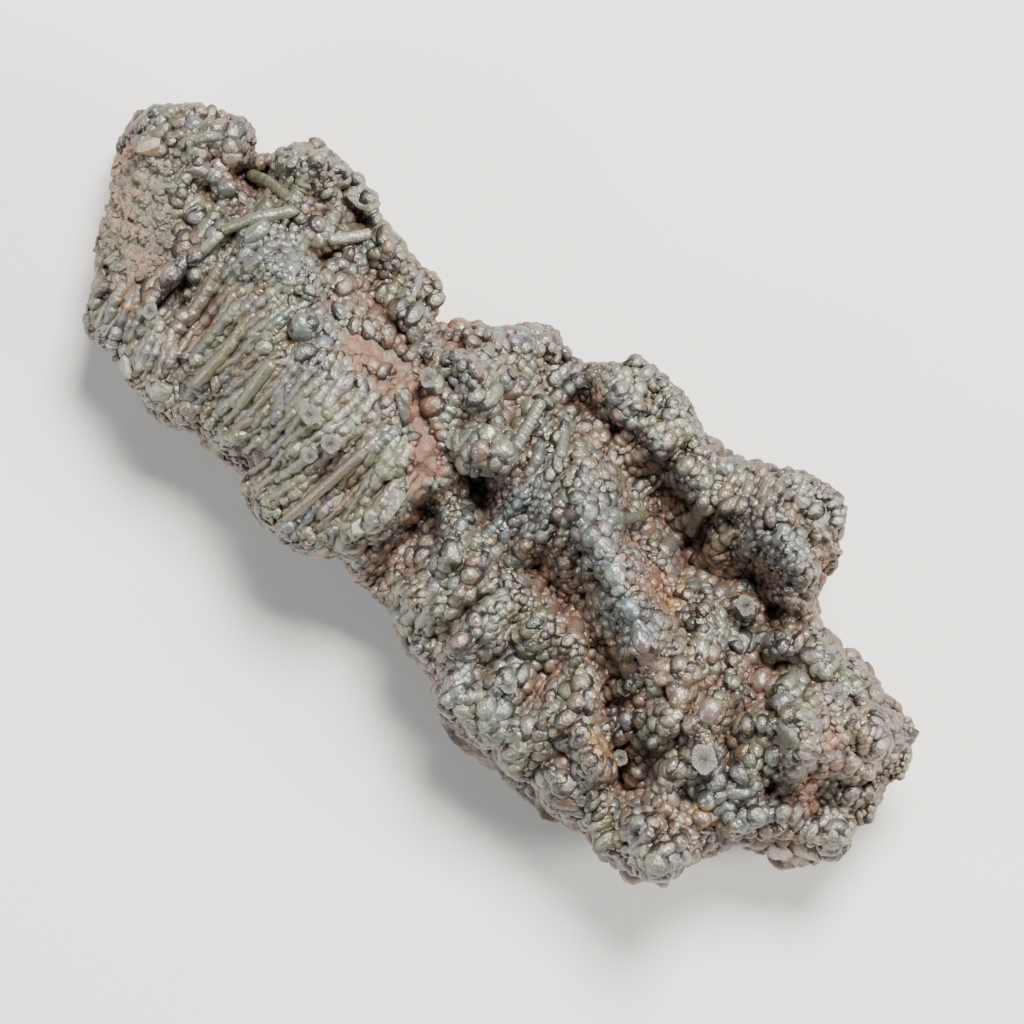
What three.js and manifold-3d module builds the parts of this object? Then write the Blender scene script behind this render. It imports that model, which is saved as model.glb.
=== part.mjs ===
// A goethite specimen: one grown piece of iron oxide, lying on its flat broken back.
// Millimetres, +Z up. +X runs along the piece, +Y across it, and the origin is under its middle.
// One solid: a lobed slab of matrix, with the lumps, ledges, stalactite fingers and free rods
// that grew on it joined in.

import * as THREE from 'three';
import { mergeVertices } from 'three/addons/utils/BufferGeometryUtils.js';
import Module from 'manifold-3d';

const wasm = await Module();
wasm.setup();

// Driving dimensions
const LENGTH = 100;
const WIDTH = 43.3;
const HEIGHT = 25;

// The slab
const STATIONS = 74;
const STEPS_ACROSS = 21;
const RIM_CROWDING = 0.6;
const EDGE_LEVEL = 9;
const PLATEAU_RISE = 6.5;
const SHOULDER = 7;
const END_TAPER = 8;
const END_DROP = 3;
const END_LIFT = 3.5;
const REST_INSET = 8;
const NARROW_INSET = 0.34;
const REST_POINTS = 4;
const FLANK_LEVELS = [0.12, 0.36, 0.6, 0.84];
const FLANK_CURVE = 1.7;
const LONG_WAVE = { pace: 0.42, depth: 0.9 };
const SHORT_WAVE = { pace: 1.13, depth: 0.6, climb: 6 };
const FAR_PHASE = 1;
const NEAR_PHASE = 3;

// The growth on it
const SWELL_FALL = 0.7;
const SWELL_MARGIN = 3;
const LUMP_SPREAD = 1.3;
const LUMP_FOOT = 0.4;
const BEDDING = 0.5;
const FINGER_SIDES = 6;
const ROD_SIDES = 5;
const TIP_SIDES = 7;
const TIP_ROOT = 1;
const TIP_FOOT = 0.8;
const CAP_WIDTH = 0.75;
const CAP_REACH = 0.6;
const SEAM_GAP = 1e-4;
const FINEST_EDGE = 0.03;

// Colour and lustre of the whole crust
const CRUST = { color: 0x857f75, roughness: 0.45, metalness: 0.15 };

// Outline from above: far edge (+Y) and near edge (-Y), each from the left tip to the right end
const FAR_EDGE = [
  [-49.8, 2], [-49, 3.5], [-47.5, 5.3], [-46, 7.6], [-43.5, 9], [-40.5, 10], [-38.5, 9], [-37.2, 7.3],
  [-36, 12], [-33, 14], [-26.5, 12.8], [-25, 11], [-22.5, 12], [-20, 10.5], [-16, 11], [-13.3, 7.3],
  [-11.5, 11.3], [-7, 13.3], [-5, 15.3], [-2, 13.8], [0, 14.3], [1.2, 17.5], [3, 18.8], [8.5, 18.6],
  [12, 17], [16, 17.8], [20, 19.3], [22, 21], [25.5, 21.3], [28.5, 19.3], [30.5, 16.3], [31.3, 12.7],
  [35.5, 10.3], [39.5, 11], [42, 10], [45, 10.7], [47.3, 9.7], [48.6, 7.2],
];
const NEAR_EDGE = [
  [-49.8, 1], [-47.5, -3], [-45.5, -6], [-44.5, -8.3], [-42, -11], [-40, -13.8], [-38, -15.5],
  [-35, -15.8], [-33, -16.8], [-28, -16.8], [-25, -16.1], [-20, -16.1], [-16, -17.4], [-12, -18.2],
  [-8.5, -17.8], [-6, -15.8], [0, -16.1], [4, -16.8], [8, -18.6], [10.5, -20.8], [15, -21.4],
  [26, -21.3], [30, -19.8], [36, -19.5], [38.3, -17.8], [39, -14.5], [42, -10.5], [44, -9.3],
  [47, -8.7], [48.6, -7.6],
];

// Swells and hollows of the ground: [x, y, half length, half width, rise, turn in degrees]
const SWELLS = [
  [-15, -3, 11, 4.5, 6, 0],
  [-16, -10, 11, 5, 3, 0],
  [-27, 1.5, 6, 4, 3, -10],
  [-44, -4, 5, 6, -2, -35],
  [-34, -7, 4.5, 5, -2.5, 0],
  [-37, 6.6, 2, 1.4, -4, 10],
  [-27, 5.6, 1.5, 1.2, -3.5, 0],
  [-39.5, 3, 1.6, 1, -2, 0],
  [-20, 6, 3.5, 2, -2.5, 15],
  [-9, 5.5, 5, 3, 3.5, 20],
  [-1.5, -9, 1.9, 5, -4.5, 5],
  [-0.4, -0.8, 2.2, 1.4, -4, -30],
  [5, 3, 5, 4, 3, -20],
  [16, 1, 9, 2.6, 5.5, -27],
  [18.5, -7, 5, 1.8, 4, -36],
  [16.6, -10, 1.5, 1.8, -3.5, 60],
  [4, 10.5, 5, 1.8, -2.5, -10],
  [13, 5.8, 1.8, 1.2, -3, 0],
  [22, 8.2, 9, 1.7, -4.5, -5],
  [25, 3.3, 5, 1.8, 1, -10],
  [14.5, -4.2, 7, 1.2, -3, -25],
  [25, -9.8, 5, 1.4, -4, -35],
  [29.5, -13.3, 2, 1.5, -4, 0],
  [6, -10, 6, 4, 1.5, 0],
  [6, 16, 5, 3, 3, 0],
  [15, 15, 5, 2.5, 2.5, 0],
  [25, 17, 5, 4, 6, 0],
  [32, 5.5, 3, 1.4, -3, 10],
  [39, 1.5, 4, 2.2, 5, -40],
  [31, -4, 5, 3.5, 2.5, -20],
  [43.5, -1.5, 2, 1.6, -2.5, -60],
  [42, 6, 5, 3, 2, 0],
  [24, -13, 4, 2.5, 3, -40],
  [35, -16, 3, 2.5, 2.5, 0],
  [20, -20.5, 10, 1.3, -3.5, 0],
  [47, -7, 3, 1.6, -2, 15],
];

// Lumps: [x, y, half length, half width, height over the ground, turn in degrees]
const LEFT_END_LUMPS = [
  [-47.6, 3, 1.6, 1.3, 1, 20], [-46.2, 1.9, 1.4, 1, 1.1, 0], [-46, 5.3, 1.8, 1.5, 1.4, 30],
  [-44.2, 7, 2.2, 1.7, 1.8, 20], [-44.3, 4.5, 1.4, 1.2, 1.5, 0], [-41.3, 8.5, 2.2, 1.5, 2, -10],
  [-37.8, 4.1, 1.1, 1.1, 1.3, 0],
  [-38.3, 7.4, 1.3, 1.1, 1.2, 0], [-40.2, 1.3, 1.9, 1.1, 1, 0], [-37.5, -2.5, 1.6, 1.4, 0.6, 60],
  [-35.2, 11.4, 2.2, 1.4, 1.6, 80], [-32.9, 12.7, 1.7, 1.5, 2, 60], [-34.2, 9.2, 1.3, 1.2, 1.5, 0],
  [-31.9, 10.3, 1.9, 1.7, 2.3, 0], [-30.4, 12, 1.6, 1.4, 1.7, 0], [-27.4, 12, 2, 1.4, 1.8, 0],
  [-28.6, 9.6, 1.7, 1.1, 1.2, -20], [-36.2, 8.1, 1, 0.9, 0.9, 0],
];
const MIDDLE_LEFT_LUMPS = [
  [-28.2, 6.6, 1.3, 1.2, 1.6, 0], [-32.5, 2.9, 1.7, 1.2, 1.8, -60], [-30, 4.9, 1.3, 1.1, 1, 0],
  [-28.8, 2.2, 1.3, 1.2, 1.6, 0], [-26.3, 3.2, 1.8, 1.1, 1.5, -20], [-24.7, 0.8, 1.2, 0.9, 1.2, 0],
  [-27, -0.8, 1.6, 0.9, 1, -10], [-31, -1.8, 1.2, 1, 1.2, 0],
  [-23.5, 4.2, 1.6, 1.1, 1.2, 20], [-22.4, 10, 2.4, 1.9, 2.2, -30], [-24, 7.4, 1.3, 1.1, 1.2, 0],
  [-18.6, 9.7, 1.3, 1.1, 1.3, 0], [-16, 9.6, 1.4, 1.2, 1.6, 0], [-14.4, 8.2, 1.1, 1, 1.1, 0],
  [-16.3, 6.3, 3, 1.3, 1.6, 10], [-18.5, 3.4, 1.4, 1.1, 1, 0], [-20.8, 4.4, 1.3, 1, 0.9, 0],
  [-11.7, 9.2, 1.5, 1.4, 1.8, 60], [-10.2, 10.9, 1.4, 1.2, 1.5, 0], [-8.2, 11.9, 1.8, 1.4, 1.9, 20],
  [-5, 14.1, 1.4, 1.3, 1.9, 0], [-5.7, 11.4, 1.5, 1.3, 1.6, 0], [-3.2, 12.9, 1.7, 1.3, 1.7, 0],
  [-1.4, 12.8, 1.2, 1.1, 1.2, 0], [-8.7, 8.4, 1.7, 1, 1.1, 40], [-5.8, 8.2, 1.9, 1, 1.3, 30],
  [-8.5, 5.2, 3.2, 2.2, 1.2, 10], [-13.6, 3.9, 1.7, 1.3, 1, 30], [-4.6, 5, 1.5, 1.3, 1, 0],
  [-8.4, 2.3, 1.2, 1, 1, 0],
];
const TERRACE_LUMPS = [
  [-16.9, -3.6, 1.5, 0.9, 1.1, 80], [-20, -3.3, 2.6, 1.2, 0.9, 40], [-6.6, -2.8, 1.7, 1.4, 1.1, 0],
  [-5.6, -9.2, 3.6, 1.5, 1.9, 80], [-13, -12.7, 1.9, 1.3, 1.3, 70], [-17, -15.2, 1.4, 1.2, 1.3, 0],
  [-14.2, -14.8, 1.7, 1.5, 1.7, 90], [-8.8, -15.4, 1.7, 1.4, 1.5, 20], [-20.3, -13, 1.6, 1, 1, 80],
  [-3.7, -5.2, 1.5, 1.1, 1.1, 70], [-24.5, -4, 1.8, 1.3, 1, 30], [-36, -3.6, 1, 0.9, 0.8, 0],
  [-37.4, -7.4, 1.2, 1, 1, 0], [-32, -9.2, 1.2, 1, 1.4, 80],
  [-31.6, -6.7, 1, 0.8, 1, 60], [-38.8, -8.6, 1.3, 1.1, 1.4, 120], [-32, -15.8, 1.2, 1, 1, 0],
  [-29, -14.9, 1.4, 1.1, 1.6, 40], [-36.9, -14.9, 1.3, 1, 1.2, 0], [-34.7, -14.7, 1.2, 1, 0.9, 0],
  [-27.4, -12.4, 1, 0.8, 1, 0], [-26.8, -15.4, 1.6, 0.9, 1, 0],
];
const MIDDLE_LUMPS = [
  [2.8, 16.8, 2, 1.8, 1.7, 30], [7.6, 16.7, 2.6, 1.8, 1.9, -10],
  [5.2, 14.4, 1.8, 1.3, 1.7, 0], [10.8, 15.3, 1.9, 1.5, 1.6, 0], [13.6, 15.2, 1.7, 1.5, 1.6, 0],
  [10.2, 13.1, 1.9, 1.3, 1.8, -10], [13.9, 13, 1.4, 1.2, 1.7, 0], [4.3, 11.8, 1.3, 1.2, 1.6, 0],
  [2, 14.2, 1.2, 1, 1.2, 0], [17, 16.3, 1.9, 1.4, 1.7, 0], [18.7, 13.4, 1.5, 1.3, 1.7, 0],
  [15.6, 11.4, 1.4, 1.1, 1.5, 0], [20.3, 10.6, 1.6, 1.2, 1.3, 0], [19.9, 17.2, 1.6, 1.5, 1.5, 0],
  [7.4, 9.4, 1.7, 1.2, 1.2, 0], [11.5, 9.2, 1.8, 1.1, 1.6, 20], [16.8, 8.6, 1.3, 1.1, 1.5, 0],
  [7.5, 4.2, 2.6, 2.3, 1.3, -60], [3.6, 4.6, 1.5, 1.2, 1, 0], [4, 1.5, 1.7, 1.3, 1, 0],
  [11.8, 2.2, 1.8, 1.6, 1.5, 0], [14.8, 1.5, 1.9, 1.5, 1.4, -30], [18, 0.2, 2, 1.5, 1.4, -30],
  [20.8, -1.4, 1.9, 1.4, 1.2, -20], [16.2, 4.6, 1.5, 1.1, 1.6, 10], [19.2, 4.4, 1.5, 1.2, 1.7, 0],
  [5.7, -1.6, 1.8, 1, 1, -20], [9.6, -1.5, 1.5, 1.1, 1.1, -40], [13, -3, 1.3, 1, 1.4, 0],
  [1.3, -4.2, 1.8, 1.2, 1.1, 0], [17, -4.1, 1.3, 1, 1.2, 0],
];
const NEAR_BAND_LUMPS = [
  [2.2, -8, 2.2, 1.3, 1.5, 80], [1.3, -12.8, 1.6, 1.4, 1.3, 0], [4.5, -12.6, 1.9, 1.4, 1.6, 80],
  [8.4, -13.2, 1.9, 1.5, 1.5, 60], [4.2, -15.4, 1.6, 1.1, 1, 0], [11.2, -17.2, 2.4, 1.7, 2, 80],
  [17, -16.4, 2.3, 1.6, 1.9, 70], [14, -14, 1.8, 1.4, 1.5, 80], [7.4, -16.3, 1.6, 1.1, 1.2, 0],
  [18.3, -12, 2.6, 1.3, 1.6, 60], [14.2, -18.8, 1.7, 1.3, 1.3, 0], [20.3, -18.3, 1.7, 1.4, 1.5, 60],
  [22, -14.2, 1.8, 1.3, 1.5, 60], [25, -12.3, 2.7, 1.4, 2, -40], [24.2, -16.7, 2, 1.4, 1.6, 50],
  [28.9, -16, 1.8, 1.1, 1.8, 30], [26.6, -18.4, 1.6, 1.1, 1.2, 30], [31.4, -12.6, 1.5, 1.2, 1.5, 0],
  [33.4, -14.6, 1.9, 1.5, 1.8, 60], [35.7, -13.6, 1.5, 1.3, 1.4, 0], [36.4, -16.6, 1.9, 1.6, 1.9, 0],
  [32, -17.4, 2, 1.2, 1.2, 20], [38.6, -11, 1.6, 0.9, 0.9, 40], [10.3, -11.6, 1.4, 1, 1, 80],
];
const RIGHT_LUMPS = [
  [25.2, 18.4, 3.9, 2.7, 1.6, 10], [29.2, 16.6, 1.7, 1.5, 1.8, 60],
  [22.2, 18.9, 1.9, 1.7, 1.6, 0], [22.4, 14.6, 1.8, 1.5, 1.6, 0],
  [21.7, 7.7, 1.6, 1.3, 2.2, 0], [23.3, 4.5, 1.7, 1.2, 1.8, 0], [26.1, 2.9, 1.6, 1.2, 1.5, 60],
  [29, 3.9, 1.3, 1.3, 1.6, 0], [24.2, 10.9, 2, 1.1, 1, 0], [28.2, 10.9, 2.2, 1.2, 1.2, -10],
  [32.2, 9.8, 2.9, 1.5, 1.4, -15], [31.9, 7.1, 2.4, 1.2, 1.8, 30], [35.9, 8, 2, 1.3, 1.6, 40],
  [37.8, 9.2, 1.3, 1.1, 1.2, 0], [39.6, 9.8, 1.2, 1.1, 1.4, 0], [41.6, 9, 1.5, 1.2, 1.5, 0],
  [45.6, 9.2, 2.1, 1.3, 1.5, -15], [43, 6.4, 2.4, 1.8, 2, 10], [38.6, 6.3, 1.8, 1.2, 1.4, 20],
  [47, 6.6, 1.6, 1.3, 1.3, 0], [46.6, 3.9, 1.5, 1.2, 1.3, 0], [40.2, 4.2, 1.9, 1.1, 1.2, -10],
  [43.2, 3.2, 1.4, 1.1, 1.2, 0], [46.3, 1.1, 2.2, 1.1, 1.7, 15], [48.1, -0.6, 1.2, 1.1, 1, 0],
  [47.4, -3.1, 1.9, 1.6, 1.8, 0], [37.2, 1.9, 2.1, 1.3, 1.2, 50], [39.8, 0.8, 1.6, 1.2, 1, -20],
  [38.3, -1.2, 1.6, 1.4, 1.3, 90], [41.7, -2.9, 1.9, 1.1, 1.3, -50], [41.2, -6, 1.6, 1.5, 1.7, 0],
  [36.3, -3.4, 1.6, 1.2, 1.2, 80], [33.2, -1.6, 2.1, 1.6, 1.5, 50], [30, -0.9, 1.4, 1.2, 1.2, 0],
  [28.7, -3.3, 1.4, 1.2, 1.2, 0], [25.4, -1.8, 2.2, 1.5, 1, 20], [32.8, -5.9, 1.6, 1.4, 1.9, 0],
  [25.5, -6.9, 1.4, 1.1, 1.6, 0], [22.7, -5.6, 1.2, 1.1, 1.5, 0], [25, -9.2, 1.5, 1.2, 2.2, 0],
  [21.4, -7.4, 1.6, 1.1, 1.5, -50], [28.9, -7.9, 2.2, 1.3, 1.4, 50], [32, -8.5, 2.4, 1.1, 1.4, 25],
  [36.2, -8.7, 1.3, 1.2, 1.3, 0], [36.9, -10.4, 1.3, 1, 1.1, 0], [38.8, -7.9, 1.6, 1.2, 1.1, 0],
  [33.9, -11.3, 1.5, 1, 1, 0], [29.8, 1, 1.5, 1, 1.1, 0],
];

const LUMPS = [
  ...LEFT_END_LUMPS, ...MIDDLE_LEFT_LUMPS, ...TERRACE_LUMPS,
  ...MIDDLE_LUMPS, ...NEAR_BAND_LUMPS, ...RIGHT_LUMPS,
];

// Knobs that stand clear of the ground on a narrower foot, listed as the lumps are
const KNOBS = [
  [-1.7, 2, 3.1, 2.6, 5.2, 60], [26.5, 7.5, 1.8, 1.6, 3.6, 0], [26, 14.1, 3.6, 2, 2.6, -10],
  [-39.4, 6.5, 1.7, 1.6, 2.6, 0], [-23, -0.9, 1.6, 1.3, 2.2, 70], [-41.2, 3.8, 2.1, 1.7, 2.2, 0],
  [-35.2, -9.7, 1.4, 0.9, 2.6, 10], [48.1, 5.5, 1.6, 1.4, 1.7, 60], [48.4, 0.4, 1.3, 1.2, 1.6, 0],
  [48.4, -4, 1.6, 1.4, 1.9, 80],
];

// Ridges that are fused along their whole length: [x1, y1, x2, y2, first radius, second radius, lift]
const RIDGES = [
  [-27.3, -5.4, -28, -9.6, 0.8, 0.8, 0.8], [-26.7, -7.6, -26.9, -12.4, 0.8, 0.8, 0.5],
  [-20.6, -6.6, -20.2, -11.5, 0.8, 0.8, 0.4], [-17.3, -7.5, -17.2, -12.6, 0.9, 0.9, 0.4],
  [-13.8, -1.8, -14, -7, 0.8, 0.8, 0.5], [-12.2, -0.9, -12.4, -6, 0.8, 0.8, 0.5],
  [-15.5, -10, -15.9, -14.6, 0.9, 1, 0.4], [-37.1, -10, -36, -13, 0.8, 0.8, 0.4],
  [-37, -1, -36.6, -5, 0.9, 0.8, 0.4], [-31.5, -2.8, -31, -5.4, 0.9, 0.7, 0.6],
  [9.4, -6, 9, -10, 1, 1, 0.5], [14.6, -6.2, 14.3, -10.8, 0.9, 0.9, 0.7],
  [16, -12.4, 15.4, -16.4, 1, 1, 0.6], [20.5, -10.8, 18.8, -15.5, 1, 1, 0.6],
  [-9, 10, -8.8, 8.6, 0.8, 0.7, 1.1], [24.8, 1.6, 23.5, -0.4, 0.9, 0.8, 0.7],
  [-32.5, -10.8, -32, -13, 0.9, 0.8, 0.8], [-43.1, 5.4, -41.4, 7.3, 0.9, 0.9, 1.1],
];

// Stalactite fingers that stand out of the ground, listed as the ridges are
const FINGERS = [
  [-35.2, -1, -36, -9.3, 0.75, 0.7, 1.6], [-34, -2.4, -32.5, -9.3, 0.9, 0.75, 0.9],
  [-28.8, -4, -29.8, -10.8, 0.9, 0.65, 1.2], [-40.4, -11, -39.1, -14, 1, 1.1, 0.6],
  [-38.4, -10.4, -37.1, -14, 1.1, 1.2, 0.9], [-34.4, -11.2, -32.6, -14.6, 1.1, 1.2, 1.1],
  [-30.7, -11.2, -30, -14, 1, 1.1, 1], [-22.8, -5.6, -22, -15, 1.3, 1.05, 0.8],
  [-25, -6.5, -25.4, -14.6, 1, 0.9, 0.5], [-19, -6, -18.8, -12.2, 0.9, 0.9, 0.6],
  [-15.4, -0.8, -15.2, -9.6, 0.8, 0.85, 0.6], [-10.4, -0.4, -10.9, -9, 0.75, 0.95, 1],
  [-10.9, -9, -12, -16.3, 0.95, 1.5, 0.8], [-8.1, -1.8, -8, -6, 0.9, 0.8, 0.6],
  [-7.5, -5.4, -9.3, -13, 0.8, 1, 0.7], [4.6, -5.6, 5.2, -10.6, 1, 1.1, 0.7],
  [7, -5.4, 7.2, -10.6, 0.9, 1, 0.7], [12.6, -5.4, 11.4, -11.2, 1.1, 1, 0.7],
  [15, -5, 21, -9.2, 1.1, 1, 0.9], [16.8, 12.4, 18, 9.6, 0.75, 0.65, 1.3],
  [34.5, 6, 34, 3.4, 0.65, 0.95, 1.8], [-17, 10.4, -17.8, 8.2, 0.6, 0.6, 1.1],
];

// Free rods that bridge a hollow: [x1, y1, x2, y2, first radius, second radius, lift]
const RODS = [
  [-37.2, 7.2, -31.8, 7.2, 0.6, 0.6, 1.2],
  [-35.4, 1, -30.5, 7.3, 0.65, 0.6, 1.7],
  [-35.4, 1, -35.2, -1, 0.65, 0.75, 1.7],
  [-27.2, 6.8, -24.4, 10, 0.55, 0.5, 1.6],
  [-0.2, 3.8, -1.3, 9.2, 0.7, 0.65, 1.8],
  [1, 9.8, 3.7, 5.8, 0.75, 0.7, 0.8],
  [9.8, 8.6, 10.5, 3.8, 0.5, 0.5, 0.5],
  [13.8, 8.4, 10.9, 4, 0.6, 0.6, 0.5],
];

// Broken stalactite tips, flat discs facing up: [x, y, radius, height over the ground]
const BROKEN_TIPS = [
  [-10.8, 3.4, 1, 2.2], [-5, 0.6, 1.1, 1.8], [-16.8, -6.7, 1.1, 1.7], [-13.5, -7.5, 0.95, 1.8],
  [-12.3, -6.8, 0.6, 2], [-14.2, -9.8, 0.75, 1.5], [33, -6, 1.4, 2.4], [23.1, -6.1, 0.9, 2.2],
];

function edgeAt(edge, x) {
  const last = edge.length - 1;
  const next = edge.findIndex((point, index) => index > 0 && x <= point[0]);
  const index = next < 0 ? last : next;
  const [x0, y0] = edge[index - 1];
  const [x1, y1] = edge[index];
  const along = THREE.MathUtils.clamp((x - x0) / (x1 - x0), 0, 1);
  return y0 + (y1 - y0) * along;
}

// A rounded shoulder: 0 at the rim, 1 from the given distance inwards
function shoulder(distance, reach) {
  const short = 1 - THREE.MathUtils.clamp(distance / reach, 0, 1);
  return Math.sqrt(1 - short * short);
}

function swellAt(x, y, [cx, cy, along, across, rise, turn]) {
  const angle = THREE.MathUtils.degToRad(turn);
  const u = ((x - cx) * Math.cos(angle) + (y - cy) * Math.sin(angle)) / along;
  const v = ((y - cy) * Math.cos(angle) - (x - cx) * Math.sin(angle)) / across;
  return rise * Math.exp(-SWELL_FALL * (u * u + v * v));
}

// Height of the ground under the lumps, above the surface that the piece rests on
function groundAt(x, y) {
  const inward = Math.min(edgeAt(FAR_EDGE, x) - y, y - edgeAt(NEAR_EDGE, x));
  const toEnd = LENGTH / 2 - Math.abs(x);
  const rise = PLATEAU_RISE * shoulder(inward, SHOULDER) * shoulder(toEnd, END_TAPER);
  const drop = END_DROP * (1 - shoulder(toEnd, END_TAPER));
  const swell = SWELLS.reduce((sum, entry) => sum + swellAt(x, y, entry), 0);
  return EDGE_LEVEL + rise - drop + swell * shoulder(inward, SWELL_MARGIN);
}

// Height of the skin over one lump, or nothing where the point is beside it
function lumpTopAt(x, y, [cx, cy, along, across, height, turn]) {
  const angle = THREE.MathUtils.degToRad(turn);
  const u = ((x - cx) * Math.cos(angle) + (y - cy) * Math.sin(angle)) / (LUMP_SPREAD * along);
  const v = ((y - cy) * Math.cos(angle) - (x - cx) * Math.sin(angle)) / (LUMP_SPREAD * across);
  const inside = 1 - u * u - v * v;
  return inside > 0 ? groundAt(cx, cy) + height - (1 - inside) * (height + LUMP_FOOT) : 0;
}

// Height of the skin over one ridge, or nothing where the point is beside it
function ridgeTopAt(x, y, [x1, y1, x2, y2, startRadius, endRadius, lift]) {
  const reach = Math.hypot(x2 - x1, y2 - y1);
  const run = ((x - x1) * (x2 - x1) + (y - y1) * (y2 - y1)) / (reach * reach);
  const along = THREE.MathUtils.clamp(run, 0, 1);
  const aside = Math.hypot(x - x1 - along * (x2 - x1), y - y1 - along * (y2 - y1));
  const radius = THREE.MathUtils.lerp(startRadius, endRadius, along);
  if (aside >= radius) {
    return 0;
  }
  const axis = THREE.MathUtils.lerp(groundAt(x1, y1), groundAt(x2, y2), along) + lift - radius * BEDDING;
  return axis + Math.sqrt(radius * radius - aside * aside);
}

// Height of the skin: the ground, or the highest lump or ridge that stands there
function skinAt(x, y) {
  const lumped = LUMPS.reduce((top, entry) => Math.max(top, lumpTopAt(x, y, entry)), groundAt(x, y));
  return RIDGES.reduce((top, entry) => Math.max(top, ridgeTopAt(x, y, entry)), lumped);
}

// How far a flank stands in from the rim, at a level from 0 at the rest to 1 at the rim
function flankInset(x, level, inset, phase) {
  const long = LONG_WAVE.depth * Math.sin(LONG_WAVE.pace * x + phase);
  const short = SHORT_WAVE.depth * Math.sin(SHORT_WAVE.pace * x + SHORT_WAVE.climb * level + 2 * phase);
  const bulge = (inset / REST_INSET) * (long + short);
  return inset * (1 - level) ** FLANK_CURVE + bulge * Math.sin(Math.PI * level);
}

// One closed cross-section of the slab at x, as [y, z] points, anticlockwise seen from +X
function sectionAt(x) {
  const near = edgeAt(NEAR_EDGE, x);
  const far = edgeAt(FAR_EDGE, x);
  const inset = Math.min(REST_INSET, (far - near) * NARROW_INSET);
  const base = END_LIFT * (1 - shoulder(LENGTH / 2 - Math.abs(x), END_TAPER));
  const rim = skinAt(x, near) - base;
  const farRim = skinAt(x, far) - base;
  const points = [];
  for (let step = 0; step < REST_POINTS; step += 1) {
    points.push([THREE.MathUtils.lerp(near + inset, far - inset, step / (REST_POINTS - 1)), base]);
  }
  FLANK_LEVELS.forEach((level) => {
    points.push([far - flankInset(x, level, inset, FAR_PHASE), base + farRim * level]);
  });
  for (let step = STEPS_ACROSS; step >= 0; step -= 1) {
    const turn = (2 * Math.PI * step) / STEPS_ACROSS;
    const across = step / STEPS_ACROSS - (RIM_CROWDING * Math.sin(turn)) / (2 * Math.PI);
    const y = THREE.MathUtils.lerp(near, far, across);
    points.push([y, skinAt(x, y)]);
  }
  FLANK_LEVELS.toReversed().forEach((level) => {
    points.push([near + flankInset(x, level, inset, NEAR_PHASE), base + rim * level]);
  });
  return points;
}

function toManifold(positions, triangles) {
  return new wasm.Manifold(new wasm.Mesh({
    numProp: 3,
    vertProperties: new Float32Array(positions),
    triVerts: new Uint32Array(triangles),
  }));
}

// The slab: the sections at all stations skinned together, with a fan around the middle of each end
function slab() {
  const positions = [];
  const triangles = [];
  const ring = sectionAt(0).length;
  for (let station = 0; station <= STATIONS; station += 1) {
    const x = THREE.MathUtils.lerp(FAR_EDGE[0][0], FAR_EDGE.at(-1)[0], station / STATIONS);
    sectionAt(x).forEach(([y, z]) => positions.push(x, y, z));
  }
  const corner = (index) => new THREE.Vector3().fromArray(positions, 3 * index);
  const gap = (from, to) => corner(from).distanceTo(corner(to));
  for (let station = 0; station < STATIONS; station += 1) {
    for (let point = 0; point < ring; point += 1) {
      const a = station * ring + point;
      const b = station * ring + ((point + 1) % ring);
      const c = b + ring;
      const d = a + ring;
      triangles.push(...(gap(a, c) < gap(b, d) ? [a, b, c, a, c, d] : [a, b, d, b, c, d]));
    }
  }
  [0, STATIONS * ring].forEach((first, end) => {
    for (let point = 0; point < ring; point += 1) {
      const pair = [first + point, first + ((point + 1) % ring)];
      triangles.push((STATIONS + 1) * ring + end, ...(end ? pair : pair.toReversed()));
    }
    const x = positions[3 * first];
    positions.push(x, (edgeAt(NEAR_EDGE, x) + edgeAt(FAR_EDGE, x)) / 2, EDGE_LEVEL / 2);
  });
  return toManifold(positions, triangles);
}

// The triangles that are left once those with a shared corner, and those folded on each other, go
function soundTriangles(corners) {
  const found = new Map();
  for (let i = 0; i < corners.length; i += 3) {
    const triangle = corners.slice(i, i + 3);
    const key = triangle.toSorted((a, b) => a - b).join();
    if (new Set(triangle).size === 3 && !found.delete(key)) {
      found.set(key, triangle);
    }
  }
  return [...found.values()].flat();
}

// A solid from any closed three.js geometry, with corners nearer than the given gap joined
function solidFrom(geometry, gap) {
  geometry.deleteAttribute('normal');
  geometry.deleteAttribute('uv');
  const joined = mergeVertices(geometry, gap);
  return toManifold(joined.attributes.position.array, soundTriangles(Array.from(joined.index.array)));
}

function knob([x, y, along, across, height, turn]) {
  const rise = (along + across) / 2;
  const geometry = new THREE.IcosahedronGeometry(1, 1);
  geometry.scale(along, across, rise);
  geometry.rotateZ(THREE.MathUtils.degToRad(turn));
  geometry.translate(x, y, groundAt(x, y) + height - rise);
  return solidFrom(geometry, SEAM_GAP);
}

// A round-ended stick between two points, thinner or thicker towards its second end
function stick(start, end, startRadius, endRadius, sides) {
  const reach = end.distanceTo(start);
  const profile = [
    new THREE.Vector2(0, -startRadius),
    new THREE.Vector2(startRadius * CAP_WIDTH, -startRadius * CAP_REACH),
    new THREE.Vector2(startRadius, 0),
    new THREE.Vector2(endRadius, reach),
    new THREE.Vector2(endRadius * CAP_WIDTH, reach + endRadius * CAP_REACH),
    new THREE.Vector2(0, reach + endRadius),
  ];
  const geometry = new THREE.LatheGeometry(profile, sides);
  const direction = end.clone().sub(start).normalize();
  const turn = new THREE.Quaternion().setFromUnitVectors(new THREE.Vector3(0, 1, 0), direction);
  geometry.applyQuaternion(turn);
  geometry.translate(start.x, start.y, start.z);
  return solidFrom(geometry, SEAM_GAP);
}

function finger([x1, y1, x2, y2, startRadius, endRadius, lift], sides) {
  const start = new THREE.Vector3(x1, y1, groundAt(x1, y1) + lift - startRadius * BEDDING);
  const end = new THREE.Vector3(x2, y2, groundAt(x2, y2) + lift - endRadius * BEDDING);
  return stick(start, end, startRadius, endRadius, sides);
}

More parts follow.
